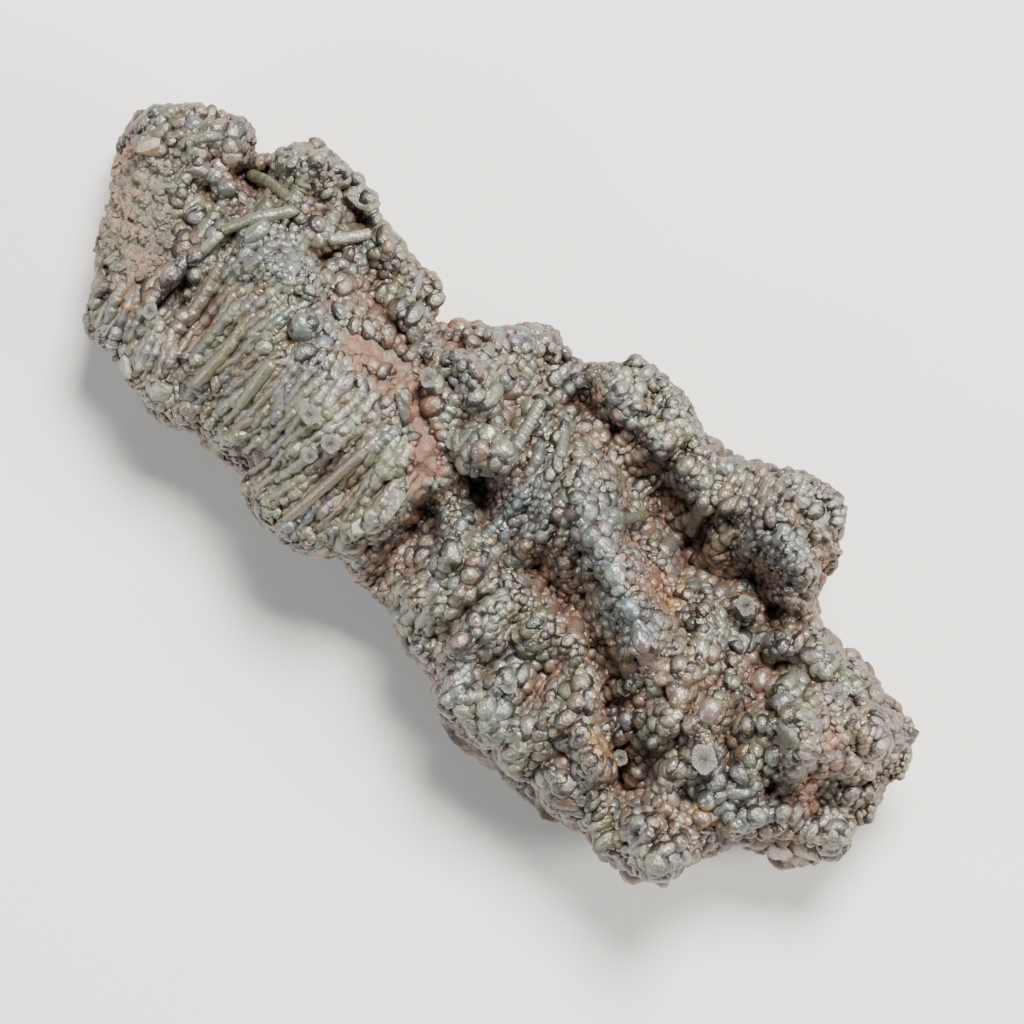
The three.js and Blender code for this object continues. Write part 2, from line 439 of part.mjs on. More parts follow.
function brokenTip([x, y, radius, height]) {
  const stalk = height + TIP_ROOT;
  const geometry = new THREE.CylinderGeometry(radius, radius * TIP_FOOT, stalk, TIP_SIDES);
  geometry.rotateX(Math.PI / 2);
  geometry.translate(x, y, groundAt(x, y) + height - stalk / 2);
  return solidFrom(geometry, SEAM_GAP);
}

function grownPiece() {
  const growths = [
    ...KNOBS.map((entry) => knob(entry)),
    ...FINGERS.map((entry) => finger(entry, FINGER_SIDES)),
    ...RODS.map((entry) => finger(entry, ROD_SIDES)),
    ...BROKEN_TIPS.map((entry) => brokenTip(entry)),
  ];
  return growths.reduce((whole, growth) => whole.add(growth), slab());
}

function toGeometry(solid) {
  const { vertProperties, triVerts } = solid.getMesh();
  const geometry = new THREE.BufferGeometry();
  geometry.setAttribute('position', new THREE.BufferAttribute(vertProperties, 3));
  geometry.setIndex(new THREE.BufferAttribute(triVerts, 1));
  return geometry;
}

// Brings the piece to its stated size, standing on z = 0 with its middle over the origin
function fitToSize(geometry) {
  geometry.computeBoundingBox();
  const size = geometry.boundingBox.getSize(new THREE.Vector3());
  const middle = geometry.boundingBox.getCenter(new THREE.Vector3());
  geometry.translate(-middle.x, -middle.y, -geometry.boundingBox.min.z);
  geometry.scale(LENGTH / size.x, WIDTH / size.y, HEIGHT / size.z);
  return geometry;
}

const grown = fitToSize(toGeometry(grownPiece()));
const skin = toGeometry(solidFrom(grown, FINEST_EDGE));
const goethite = new THREE.Mesh(skin, new THREE.MeshStandardMaterial(CRUST));
goethite.name = 'goethite';

const part = new THREE.Group();
part.add(goethite);

export default part;
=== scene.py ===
"""Looks of a goethite specimen: a long plate of grown, beaded and fluted crust, lying flat."""

import logging
import math
from dataclasses import dataclass
from enum import Enum

import bmesh
import bpy
import numpy as np
from mathutils import Matrix, Vector
from mathutils.bvhtree import BVHTree
from mathutils.kdtree import KDTree


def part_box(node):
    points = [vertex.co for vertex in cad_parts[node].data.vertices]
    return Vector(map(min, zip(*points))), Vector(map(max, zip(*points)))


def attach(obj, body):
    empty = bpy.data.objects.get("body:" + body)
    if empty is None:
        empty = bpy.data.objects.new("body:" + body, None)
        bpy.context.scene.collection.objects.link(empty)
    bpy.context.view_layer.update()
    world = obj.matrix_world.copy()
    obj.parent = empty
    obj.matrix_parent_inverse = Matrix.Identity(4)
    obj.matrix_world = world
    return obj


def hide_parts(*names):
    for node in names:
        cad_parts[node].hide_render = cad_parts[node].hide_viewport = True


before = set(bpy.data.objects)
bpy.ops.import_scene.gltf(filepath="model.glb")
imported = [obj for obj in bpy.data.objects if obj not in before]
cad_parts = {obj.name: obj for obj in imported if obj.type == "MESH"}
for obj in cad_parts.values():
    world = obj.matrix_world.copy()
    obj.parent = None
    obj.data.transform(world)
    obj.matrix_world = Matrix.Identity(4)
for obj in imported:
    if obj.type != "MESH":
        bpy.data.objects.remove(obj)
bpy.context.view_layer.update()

LOG = logging.getLogger("goethite")
MM = 0.001
NODE = "goethite"
BODY = "root"
SEED = 9952
LOWEST_SEAT = 4.0
SKY = 60.0
Array = np.ndarray
Colour = tuple[float, float, float]
Limits = tuple[Array, Array]
Draw = np.random.Generator
Mesh = bpy.types.Mesh
Piece = bpy.types.Object
Tree = bpy.types.NodeTree
Socket = bpy.types.NodeSocket
Material = bpy.types.Material
UP = np.array([0.0, 0.0, 1.0])


class Tint(Enum):
    """Colour families that lie in patches over the crust."""

    IRON = "iron"
    BLUE = "blue"
    PINK = "pink"
    PALE = "pale"
    OCHRE = "ochre"
    MATRIX = "matrix"


class Growth(Enum):
    """Ways in which the crust has grown."""

    FLUTES = "flutes"
    SLANTED = "slanted"
    BARE = "bare"


@dataclass(frozen=True)
class Spot:
    """An oval place seen from above, in millimetres, its edge soft."""

    x: float
    y: float
    rx: float
    ry: float
    turn: float = 0.0
    power: float = 1.0

    def share(self, points: Array) -> Array:
        """How far each point belongs to the spot.

        Args:
            points: positions in millimetres, one row each.

        Returns:
            One value from 0 to 1 for each point.
        """
        angle = math.radians(self.turn)
        dx = points[:, 0] - self.x
        dy = points[:, 1] - self.y
        along = (dx * math.cos(angle) + dy * math.sin(angle)) / self.rx
        across = (dy * math.cos(angle) - dx * math.sin(angle)) / self.ry
        reach = (np.abs(along) ** 3 + np.abs(across) ** 3) ** (1 / 3)
        return self.power * np.clip((1.2 - reach) / 0.5, 0, 1)


@dataclass(frozen=True)
class Band:
    """A bent strip seen from above, in millimetres, its edges soft."""

    line: tuple[tuple[float, float], ...]
    half_width: float
    power: float = 1.0

    def gap(self, points: Array) -> Array:
        """Distance from the strip's middle line, in half widths.

        Args:
            points: positions in millimetres, one row each.

        Returns:
            One value for each point.
        """
        best = np.full(len(points), 1e9)
        for (x0, y0), (x1, y1) in zip(self.line, self.line[1:]):
            dx, dy = x1 - x0, y1 - y0
            run = dx * dx + dy * dy
            t = np.clip(((points[:, 0] - x0) * dx + (points[:, 1] - y0) * dy) / run, 0, 1)
            gap = np.hypot(points[:, 0] - x0 - t * dx, points[:, 1] - y0 - t * dy)
            best = np.minimum(best, gap)
        return best / self.half_width

    def share(self, points: Array) -> Array:
        """How far each point belongs to the strip, from 0 to 1."""
        return self.power * np.clip((1.3 - self.gap(points)) / 0.7, 0, 1)


# Lines seen from above, in millimetres
LONG_RIDGE = ((9.5, 4.5), (15.0, 1.5), (22.0, -2.0))
VEIN = ((-19.5, 1.0), (-14.5, 2.5), (-10.5, 1.3), (-5.5, -2.5), (-4.0, -6.0))

TINT_PLACES: dict[Tint, tuple[Spot | Band, ...]] = {
    Tint.IRON: (
        Band(((-19.5, 1.0), (-14.5, 2.5), (-13.5, 1.0), (-10.5, 1.3), (-8.5, 0.0)), 1.1),
        Band(((-8.5, 0.0), (-5.5, -2.5), (-4.0, -4.0), (-4.0, -6.0)), 1.1),
        Spot(-12.5, 3.0, 1.8, 1.2, 20, 0.8),
        Spot(-15.5, 2.2, 2.4, 1.0, 10, 0.7),
        Spot(43.0, -1.5, 1.4, 3.0, 15, 0.8),
        Spot(2.5, 12.0, 1.4, 1.2, 0, 0.6),
        Spot(18.5, 4.0, 1.6, 1.0, 0, 0.6),
        Spot(40.5, 4.3, 1.6, 0.9, -20, 0.6),
        Spot(29.4, 15.8, 1.0, 0.8, 0, 0.9),
    ),
    Tint.BLUE: (
        Spot(-22.5, -0.8, 2.6, 2.2, 0, 0.9),
        Spot(-30.0, 2.5, 4.0, 1.8, 0, 0.7),
        Band(LONG_RIDGE, 2.4, 0.9),
        Spot(4.4, 0.5, 3.0, 3.6, 0, 0.7),
        Spot(25.5, 13.5, 4.5, 2.0, -20, 0.8),
        Spot(38.0, -7.0, 3.6, 2.4, 0, 0.8),
        Spot(8.0, 13.0, 5.0, 1.6, 0, 0.6),
        Spot(31.5, 6.5, 3.0, 1.8, 20, 0.7),
        Spot(-9.0, 10.5, 3.0, 1.6, 30, 0.5),
        Spot(13.0, -14.0, 5.0, 3.0, 0, 0.5),
        Spot(-38.0, 4.0, 3.0, 2.0, 0, 0.6),
    ),
    Tint.PINK: (
        Band(((14.0, 9.0), (20.0, 8.0), (26.0, 9.0), (31.0, 9.5)), 1.7, 0.9),
        Band(((9.0, -3.0), (20.0, -6.0), (24.0, -10.0), (29.0, -13.0)), 1.8, 0.8),
        Spot(-48.4, -0.4, 1.8, 3.2, -30, 1.0),
        Spot(-44.5, -4.0, 1.8, 3.0, 30, 0.5),
        Spot(46.0, -7.0, 3.6, 1.8, 10, 0.9),
        Spot(43.5, 4.0, 4.0, 3.2, 0, 0.6),
        Spot(16.5, -10.5, 1.4, 3.0, -15, 1.0),
        Spot(28.0, -3.0, 4.5, 2.4, 0, 0.7),
        Spot(31.0, 3.5, 2.6, 2.0, 0, 0.8),
        Spot(-2.0, -13.0, 2.6, 2.6, 0, 0.7),
        Spot(6.0, 11.5, 5.0, 1.6, 0, 0.7),
        Spot(18.5, 2.8, 5.0, 1.6, -8, 0.7),
        Spot(-20.5, 4.5, 3.4, 1.4, 0, 0.6),
        Spot(-39.5, 5.5, 2.6, 1.8, 0, 0.6),
        Spot(-12.0, 8.8, 1.6, 1.4, 0, 0.9),
        Spot(36.0, -12.5, 3.0, 2.0, 20, 0.6),
        Spot(-38.0, -8.0, 2.0, 3.0, 20, 0.5),
        Spot(-31.5, -8.0, 1.4, 4.0, 0, 0.5),
        Spot(29.0, 17.0, 2.0, 3.0, 20, 0.6),
        Spot(23.6, -2.4, 2.8, 1.4, 15, 0.9),
        Spot(33.2, 11.6, 0.8, 1.6, 10, 0.7),
    ),
    Tint.PALE: (
        Spot(-32.0, 12.8, 4.5, 2.0, 0, 0.2),
        Spot(6.0, 17.6, 5.0, 1.6, 0, 0.5),
        Spot(24.8, 19.8, 4.0, 1.8, 0, 0.6),
        Spot(46.5, 7.5, 2.6, 2.6, 0, 0.5),
        Spot(47.5, -5.0, 2.0, 3.6, 0, 0.6),
        Spot(18.5, -6.8, 4.4, 1.8, -25, 0.5),
        Spot(38.0, 1.2, 2.8, 2.2, 0, 0.4),
        Spot(27.5, 17.8, 3.4, 1.4, -35, 0.8),
        Spot(36.0, -17.0, 2.4, 2.0, 0, 0.5),
        Spot(-33.5, -15.0, 5.0, 1.2, 0, 0.5),
        Spot(-5.3, -9.0, 1.4, 3.0, 0, 0.4),
        Spot(-35.2, -9.7, 1.2, 0.8, 0, 0.9),
    ),
    Tint.OCHRE: (
        Spot(21.0, 7.6, 0.8, 0.6),
        Spot(20.4, 4.1, 0.9, 0.6, 30),
        Spot(24.0, -12.0, 1.9, 0.9, 25, 0.9),
        Spot(-37.5, -10.4, 0.8, 0.6),
        Spot(46.0, -6.3, 1.0, 0.6, 0, 0.8),
        Spot(-46.3, 2.0, 1.2, 0.9, 0, 0.15),
        Spot(37.0, -10.0, 1.5, 1.2, 0, 0.5),
    ),
    Tint.MATRIX: (
        Spot(-43.2, -3.8, 7.8, 5.0, -46),
        Spot(20.0, -20.6, 12.5, 1.2, 2, 0.7),
        Spot(36.0, -19.4, 3.0, 0.8, 0, 0.6),
    ),
}

FACE = Spot(-43.4, -3.8, 7.4, 4.7, -46)
FINE_BEADS = Spot(3.8, 0.5, 3.2, 3.6)

GROWTH_PLACES: dict[Growth, tuple[Spot | Band, ...]] = {
    Growth.FLUTES: (
        Spot(-15.0, -8.5, 11.5, 7.6, 0, 1.0),
        Spot(-29.0, -6.0, 6.0, 6.5, 0, 0.9),
        Spot(9.0, -13.0, 9.0, 6.0, 0, 0.6),
    ),
    Growth.SLANTED: (Spot(-35.0, -12.0, 5.6, 3.6, -10, 1.0),),
    Growth.BARE: (
        FACE,
        Spot(-1.4, 0.9, 1.8, 1.2, -30, 0.8),
        Spot(46.0, -7.2, 3.0, 1.4, 10, 0.9),
        Spot(37.4, 0.9, 2.2, 1.5, -40, 0.8),
        Spot(27.5, 17.8, 3.2, 1.2, -35, 0.8),
        Spot(33.2, 12.2, 0.9, 2.4, 10, 0.8),
        Spot(23.6, -2.4, 2.4, 1.1, 15, 0.75),
        Band(VEIN, 1.05),
        Spot(21.0, -20.6, 12.0, 0.9, 2),
    ),
}

# Deep places: x, y, reach, depth, all in millimetres
PITS = (
    (-36.0, 6.4, 1.5, 2.2),
    (-27.4, 10.2, 1.3, 1.8),
    (-27.0, 5.4, 1.3, 1.8),
    (-39.4, 2.9, 1.0, 1.4),
    (-0.6, -0.9, 1.6, 0.8),
    (2.2, -3.0, 1.4, 1.3),
    (-1.5, -8.6, 1.3, 1.6),
    (-9.2, -9.0, 0.7, 1.1),
    (16.5, -10.4, 1.4, 1.5),
    (20.5, 6.2, 1.5, 1.6),
    (31.5, 4.6, 1.6, 1.6),
    (28.8, -13.2, 1.5, 2.0),
    (24.2, -9.8, 1.5, 1.3),
    (-13.2, 8.2, 1.2, 1.4),
    (1.6, 11.0, 1.1, 1.4),
    (26.0, 11.2, 2.4, 1.2),
    (35.0, -8.2, 1.2, 1.2),
    (-23.0, -2.6, 1.4, 1.3),
    (9.0, -2.4, 1.3, 1.1),
    (40.6, -4.6, 1.5, 1.2),
    (-33.0, -6.0, 0.8, 1.2),
    (-19.0, 6.0, 1.3, 1.0),
    (12.2, 10.4, 1.8, 1.0),
)


# Larger humps of the crust: x, y, reach along, reach across, rise, turn in degrees
HUMPS = (
    (-1.8, 1.9, 2.8, 2.5, 2.6, 20),
    (25.4, 13.7, 2.9, 1.5, 1.2, -20),
    (43.4, 6.6, 2.6, 2.0, 1.2, 10),
    (26.5, 7.5, 1.9, 1.7, 1.4, 0),
    (-31.4, 11.2, 2.6, 2.2, 1.0, 40),
    (-41.0, 7.4, 2.6, 1.9, 1.0, -10),
    (-22.4, 10.0, 2.4, 1.9, 1.0, -20),
    (12.0, 2.6, 2.6, 1.6, 1.0, -30),
    (17.4, 0.2, 2.8, 1.6, 1.1, -30),
    (21.6, -2.4, 2.2, 1.4, 0.9, -30),
    (37.9, 1.6, 2.6, 2.0, 1.2, -35),
    (32.9, -5.9, 1.9, 1.7, 1.1, 0),
    (41.0, -5.6, 2.2, 1.9, 0.9, 0),
    (25.0, -8.8, 1.9, 1.3, 1.0, 10),
    (34.6, -15.6, 2.6, 2.2, 0.8, 10),
    (24.8, -12.8, 2.9, 1.6, 1.0, -35),
    (11.4, -17.0, 1.6, 2.6, 0.8, 0),
    (17.2, -16.2, 1.5, 2.6, 0.8, 5),
    (3.4, -12.8, 1.5, 2.4, 0.8, 0),
    (8.6, -13.4, 1.5, 2.4, 0.8, 5),
    (-8.6, 11.4, 2.4, 1.8, 0.9, 30),
    (-4.6, 13.6, 2.0, 1.6, 0.9, 20),
    (7.2, 4.4, 2.0, 2.8, 0.9, 0),
    (3.8, 15.8, 2.6, 2.0, 0.8, 0),
    (9.6, 14.6, 2.6, 1.8, 0.8, -10),
    (14.8, 13.8, 2.2, 2.0, 0.8, 0),
    (31.6, 7.4, 2.8, 1.3, 0.9, 25),
)

# Rounded ridges: line seen from above, half width, rise, all in millimetres
RIDGES = (
    (((1.6, -6.6), (2.0, -9.0), (2.2, -12.4)), 1.4, 1.4),
    (((4.4, -6.8), (4.8, -9.6), (4.8, -12.8)), 1.4, 1.4),
    (((9.9, -6.6), (9.4, -9.6), (8.6, -13.0)), 1.4, 1.5),
    (((12.2, -6.2), (15.2, -8.4), (18.4, -11.2)), 1.3, 1.3),
    (((10.0, 4.3), (13.2, 2.7), (16.6, 1.0), (22.6, -1.9)), 2.4, 1.9),
    (((22.0, 15.4), (25.4, 14.6), (29.0, 13.0)), 1.7, 1.4),
    (((21.8, 12.4), (24.8, 12.0), (28.4, 11.0)), 1.2, 1.1),
    (((29.6, 5.4), (31.8, 6.9), (34.8, 8.4)), 1.6, 1.5),
    (((35.2, 3.8), (38.2, 1.4), (41.2, -1.6)), 1.4, 1.3),
    (((26.2, -1.0), (27.8, -3.0), (28.6, -5.4)), 1.5, 1.6),
    (((30.4, 0.4), (31.2, -1.8), (31.0, -4.4)), 1.4, 1.5),
    (((23.2, -11.2), (25.4, -12.8), (28.2, -14.8)), 1.6, 1.5),
    (((31.0, -9.0), (33.6, -8.6), (36.4, -7.4)), 1.5, 1.3),
    (((14.6, -12.2), (14.4, -15.0), (13.8, -18.2)), 1.5, 1.3),
    (((20.2, -12.6), (20.0, -15.0), (19.4, -17.6)), 1.4, 1.3),
    (((33.4, -11.4), (32.6, -13.4), (31.4, -15.8)), 1.4, 1.3),
    (((23.8, 4.8), (25.4, 2.8), (26.8, 0.8)), 1.3, 1.4),
    (((34.8, -0.4), (36.0, -2.0), (37.2, -4.2)), 1.3, 1.3),
    (((5.4, 8.8), (6.8, 7.2), (8.4, 4.6)), 1.4, 1.4),
    (((-9.8, 7.4), (-7.6, 6.4), (-5.4, 5.2)), 1.3, 1.3),
    (((-17.6, 8.2), (-15.4, 7.0), (-12.8, 6.4)), 1.3, 1.2),
    (((-30.4, 0.0), (-28.2, 2.0), (-25.2, 3.4)), 1.6, 1.4),
    (((-34.8, 10.0), (-33.6, 11.8), (-32.6, 13.6)), 1.2, 1.2),
    (((6.0, 1.8), (6.8, -0.6), (7.0, -3.0)), 1.3, 1.4),
)

# Sunken furrows: line seen from above, half width, depth, all in millimetres
FURROWS = (
    (((14.0, 8.8), (20.0, 7.4), (26.0, 9.2), (31.0, 9.8)), 1.5, 2.0),
    (((8.6, -2.8), (14.0, -4.4), (20.0, -6.0), (24.0, -9.6), (29.0, -13.0)), 1.3, 1.9),
    (((11.0, 0.4), (15.0, -1.8), (19.6, -4.0)), 0.9, 1.4),
    (((13.0, 5.9), (18.0, 3.8), (23.0, 1.6)), 0.9, 1.5),
    (((-36.6, 8.0), (-37.2, 10.6), (-37.8, 13.6)), 1.0, 3.4),
    (((-26.8, 9.0), (-25.6, 11.0), (-25.2, 13.0)), 0.8, 2.0),
    (((-13.6, 7.6), (-14.4, 9.6), (-14.8, 11.6)), 0.9, 2.0),
    (((0.4, 9.4), (1.0, 12.0), (0.4, 15.0)), 0.9, 1.8),
    (((-20.4, 5.0), (-16.0, 5.2), (-10.6, 4.6), (-7.6, 3.6)), 0.8, 1.3),
    (((-4.8, -0.2), (-2.4, -1.4), (0.6, -0.8), (1.6, -3.6)), 1.0, 0.9),
    (((0.2, -6.8), (0.2, -10.0), (0.4, -14.4)), 0.6, 1.3),
    (((6.8, -5.6), (7.0, -9.4), (6.6, -14.6)), 0.6, 1.4),
    (((11.8, -9.2), (12.2, -12.6), (11.8, -16.6)), 0.7, 1.5),
    (((17.2, -12.6), (17.2, -15.2), (16.6, -18.0)), 0.6, 1.4),
    (((22.6, -14.2), (22.8, -16.6), (22.4, -18.8)), 0.6, 1.3),
    (((-2.6, -6.6), (-2.4, -10.0), (-1.6, -14.8)), 0.9, 1.9),
    (((33.0, 2.2), (33.0, -1.0), (34.2, -4.6)), 0.9, 1.7),
    (((29.2, 1.4), (29.4, -1.4), (29.9, -5.0)), 0.6, 1.4),
    (((38.0, -3.0), (40.0, -3.6), (43.0, -2.6)), 0.8, 1.4),
    (((30.4, -17.2), (31.2, -11.4), (30.0, -7.6)), 0.8, 1.5),
    (((-39.8, 1.8), (-36.4, 3.0), (-34.0, 1.0)), 0.7, 1.5),
    (((-31.4, 9.2), (-29.4, 9.4), (-28.4, 12.4)), 0.7, 1.6),
    (((-4.2, 10.6), (-3.0, 12.4), (-1.4, 14.6)), 0.7, 1.2),
    (((10.4, 9.0), (11.4, 12.0), (11.6, 15.0)), 0.7, 1.3),
    (((38.6, -9.4), (40.0, -11.4), (39.6, -13.4)), 0.9, 1.6),
)

# Flat-topped plates with steep sides: x, y, half length, half width, rise, turn in degrees
PLATES = (
    (37.5, 0.8, 2.4, 1.7, 1.2, -40),
    (15.8, -6.2, 2.6, 1.3, 1.2, -30),
    (19.6, -8.6, 2.4, 1.2, 1.1, -38),
    (-5.4, -8.6, 1.1, 2.6, 1.0, 5),
    (10.0, -15.4, 1.3, 2.2, 1.0, 5),
    (25.6, -17.0, 2.0, 1.2, 1.0, 10),
    (36.4, -14.4, 1.6, 2.2, 1.0, -15),
    (5.8, -16.0, 1.2, 1.6, 0.9, 0),
    (-31.4, 13.0, 2.2, 1.2, 0.9, 20),
    (-9.4, 9.8, 1.6, 1.2, 0.9, 30),
)


def smooth(values: Array, low: float, high: float) -> Array:
    """Eased step from 0 at low to 1 at high."""
    t = np.clip((values - low) / (high - low), 0, 1)
    return t * t * (3 - 2 * t)


def share_of(places: tuple[Spot | Band, ...], points: Array) -> Array:
    """The strongest share that any of the places has in each point.

    Args:
        places: spots and bands.
        points: positions in millimetres, one row each.

    Returns:
        One value for each point.
    """
    best = np.zeros(len(points))
    for place in places:
        best = np.maximum(best, place.share(points))
    return best


def fluted_share(points: Array) -> Array:
    """How far each point belongs to a place where fingers grow side by side."""
    return share_of(GROWTH_PLACES[Growth.FLUTES] + GROWTH_PLACES[Growth.SLANTED], points)


class Wobble:
    """Smooth random field made of a few slanted waves."""

    def __init__(self, seed: int, size: float, waves: int = 14) -> None:
        """Draws the waves.

        Args:
            seed: start of the random draw.
            size: typical width of a swell in millimetres.
            waves: number of waves added up.
        """
        draw = np.random.default_rng(seed)
        turn = draw.normal(size=(waves, 3))
        turn /= np.linalg.norm(turn, axis=1)[:, None]
        self.turn = turn * (math.pi / size) * draw.uniform(0.6, 1.6, (waves, 1))
        self.phase = draw.uniform(0, 2 * math.pi, waves)
        self.gain = math.sqrt(2 / waves)

    def at(self, points: Array) -> Array:
        """Values of the field, mostly from -1.5 to 1.5, at the points."""
        return self.gain * np.sin(points @ self.turn.T + self.phase).sum(axis=1)


def mesh_from_arrays(name: str, corners: Array, faces: Array) -> Mesh:
    """Makes a smooth triangle mesh.

    Args:
        name: name of the mesh.
        corners: positions in millimetres, one row each.
        faces: three corner numbers a row.

    Returns:
        The mesh, in metres.
    """
    mesh = bpy.data.meshes.new(name)
    mesh.vertices.add(len(corners))
    mesh.vertices.foreach_set("co", (corners * MM).astype(np.float32).ravel())
    mesh.loops.add(faces.size)
    mesh.loops.foreach_set("vertex_index", faces.astype(np.int32).ravel())
    mesh.polygons.add(len(faces))
    mesh.polygons.foreach_set("loop_start", np.arange(0, faces.size, 3, dtype=np.int32))
    mesh.update(calc_edges=True)
    mesh.validate()
    mesh.shade_smooth()
    return mesh


def put_in_scene(name: str, data: bpy.types.ID) -> Piece:
    """Puts a mesh, lamp or camera into the scene under a name.

    Args:
        name: the object's name.
        data: mesh, lamp or camera data.

    Returns:
        The new object.
    """
    made = bpy.data.objects.new(name, data)
    bpy.context.scene.collection.objects.link(made)
    return made


def corners_of(mesh: Mesh) -> Array:
    """Positions of a mesh's corners in millimetres, one row each.

    Args:
        mesh: the mesh to read.

    Returns:
        One row of x, y and z a corner.
    """
    flat = np.zeros(len(mesh.vertices) * 3, np.float32)
    mesh.vertices.foreach_get("co", flat)
    return flat.reshape(-1, 3).astype(float) / MM


def normals_of(mesh: Mesh) -> Array:
    """Outward directions at a mesh's corners, one row each.

    Args:
        mesh: the mesh to read.

    Returns:
        One row of x, y and z a corner.
    """
    flat = np.zeros(len(mesh.vertices) * 3, np.float32)
    mesh.vertex_normals.foreach_get("vector", flat)
    return flat.reshape(-1, 3).astype(float)


def set_marks(mesh: Mesh, name: str, values: Array) -> None:
    """Stores three values at every corner under a name that materials read."""
    layer = mesh.attributes.new(name, "FLOAT_VECTOR", "POINT")
    layer.data.foreach_set("vector", values.astype(np.float32).ravel())


def template_arrays(shape: bmesh.types.BMesh) -> tuple[Array, Array]:
    """Corners and triangles of a small mesh, in a fixed order; the mesh is then freed.

    Args:
        shape: the small mesh.

    Returns:
        Corners, and three corner numbers a row.
    """
    bmesh.ops.triangulate(shape, faces=shape.faces[:], quad_method="FIXED", ngon_method="EAR_CLIP")
    shape.verts.index_update()
    corners = np.array([v.co[:] for v in shape.verts])
    faces = np.array([[v.index for v in f.verts] for f in shape.faces])
    shape.free()
    start = faces.argmin(axis=1)[:, None]
    faces = np.take_along_axis(faces, (start + np.arange(3)) % 3, axis=1)
    return corners, faces[np.lexsort(faces.T[::-1])]


@dataclass(frozen=True)
class CrustSize:
    """Measures of the grown body, in millimetres."""

    voxel: float = 0.47
    inset: float = 2.3
    smoothing: int = 3
    head_radius: float = 2.4
    head_height: float = 1.65
    dome_radius: float = 1.3
    dome_height: float = 0.9
    flute_radius: float = 1.0
    flute_height: float = 0.85
    flute_stretch: float = 0.22
    unevenness: float = 0.3
    grit: float = 0.07
    rest_level: float = 0.35
    highest: float = 24.4
    knee: float = 1.2


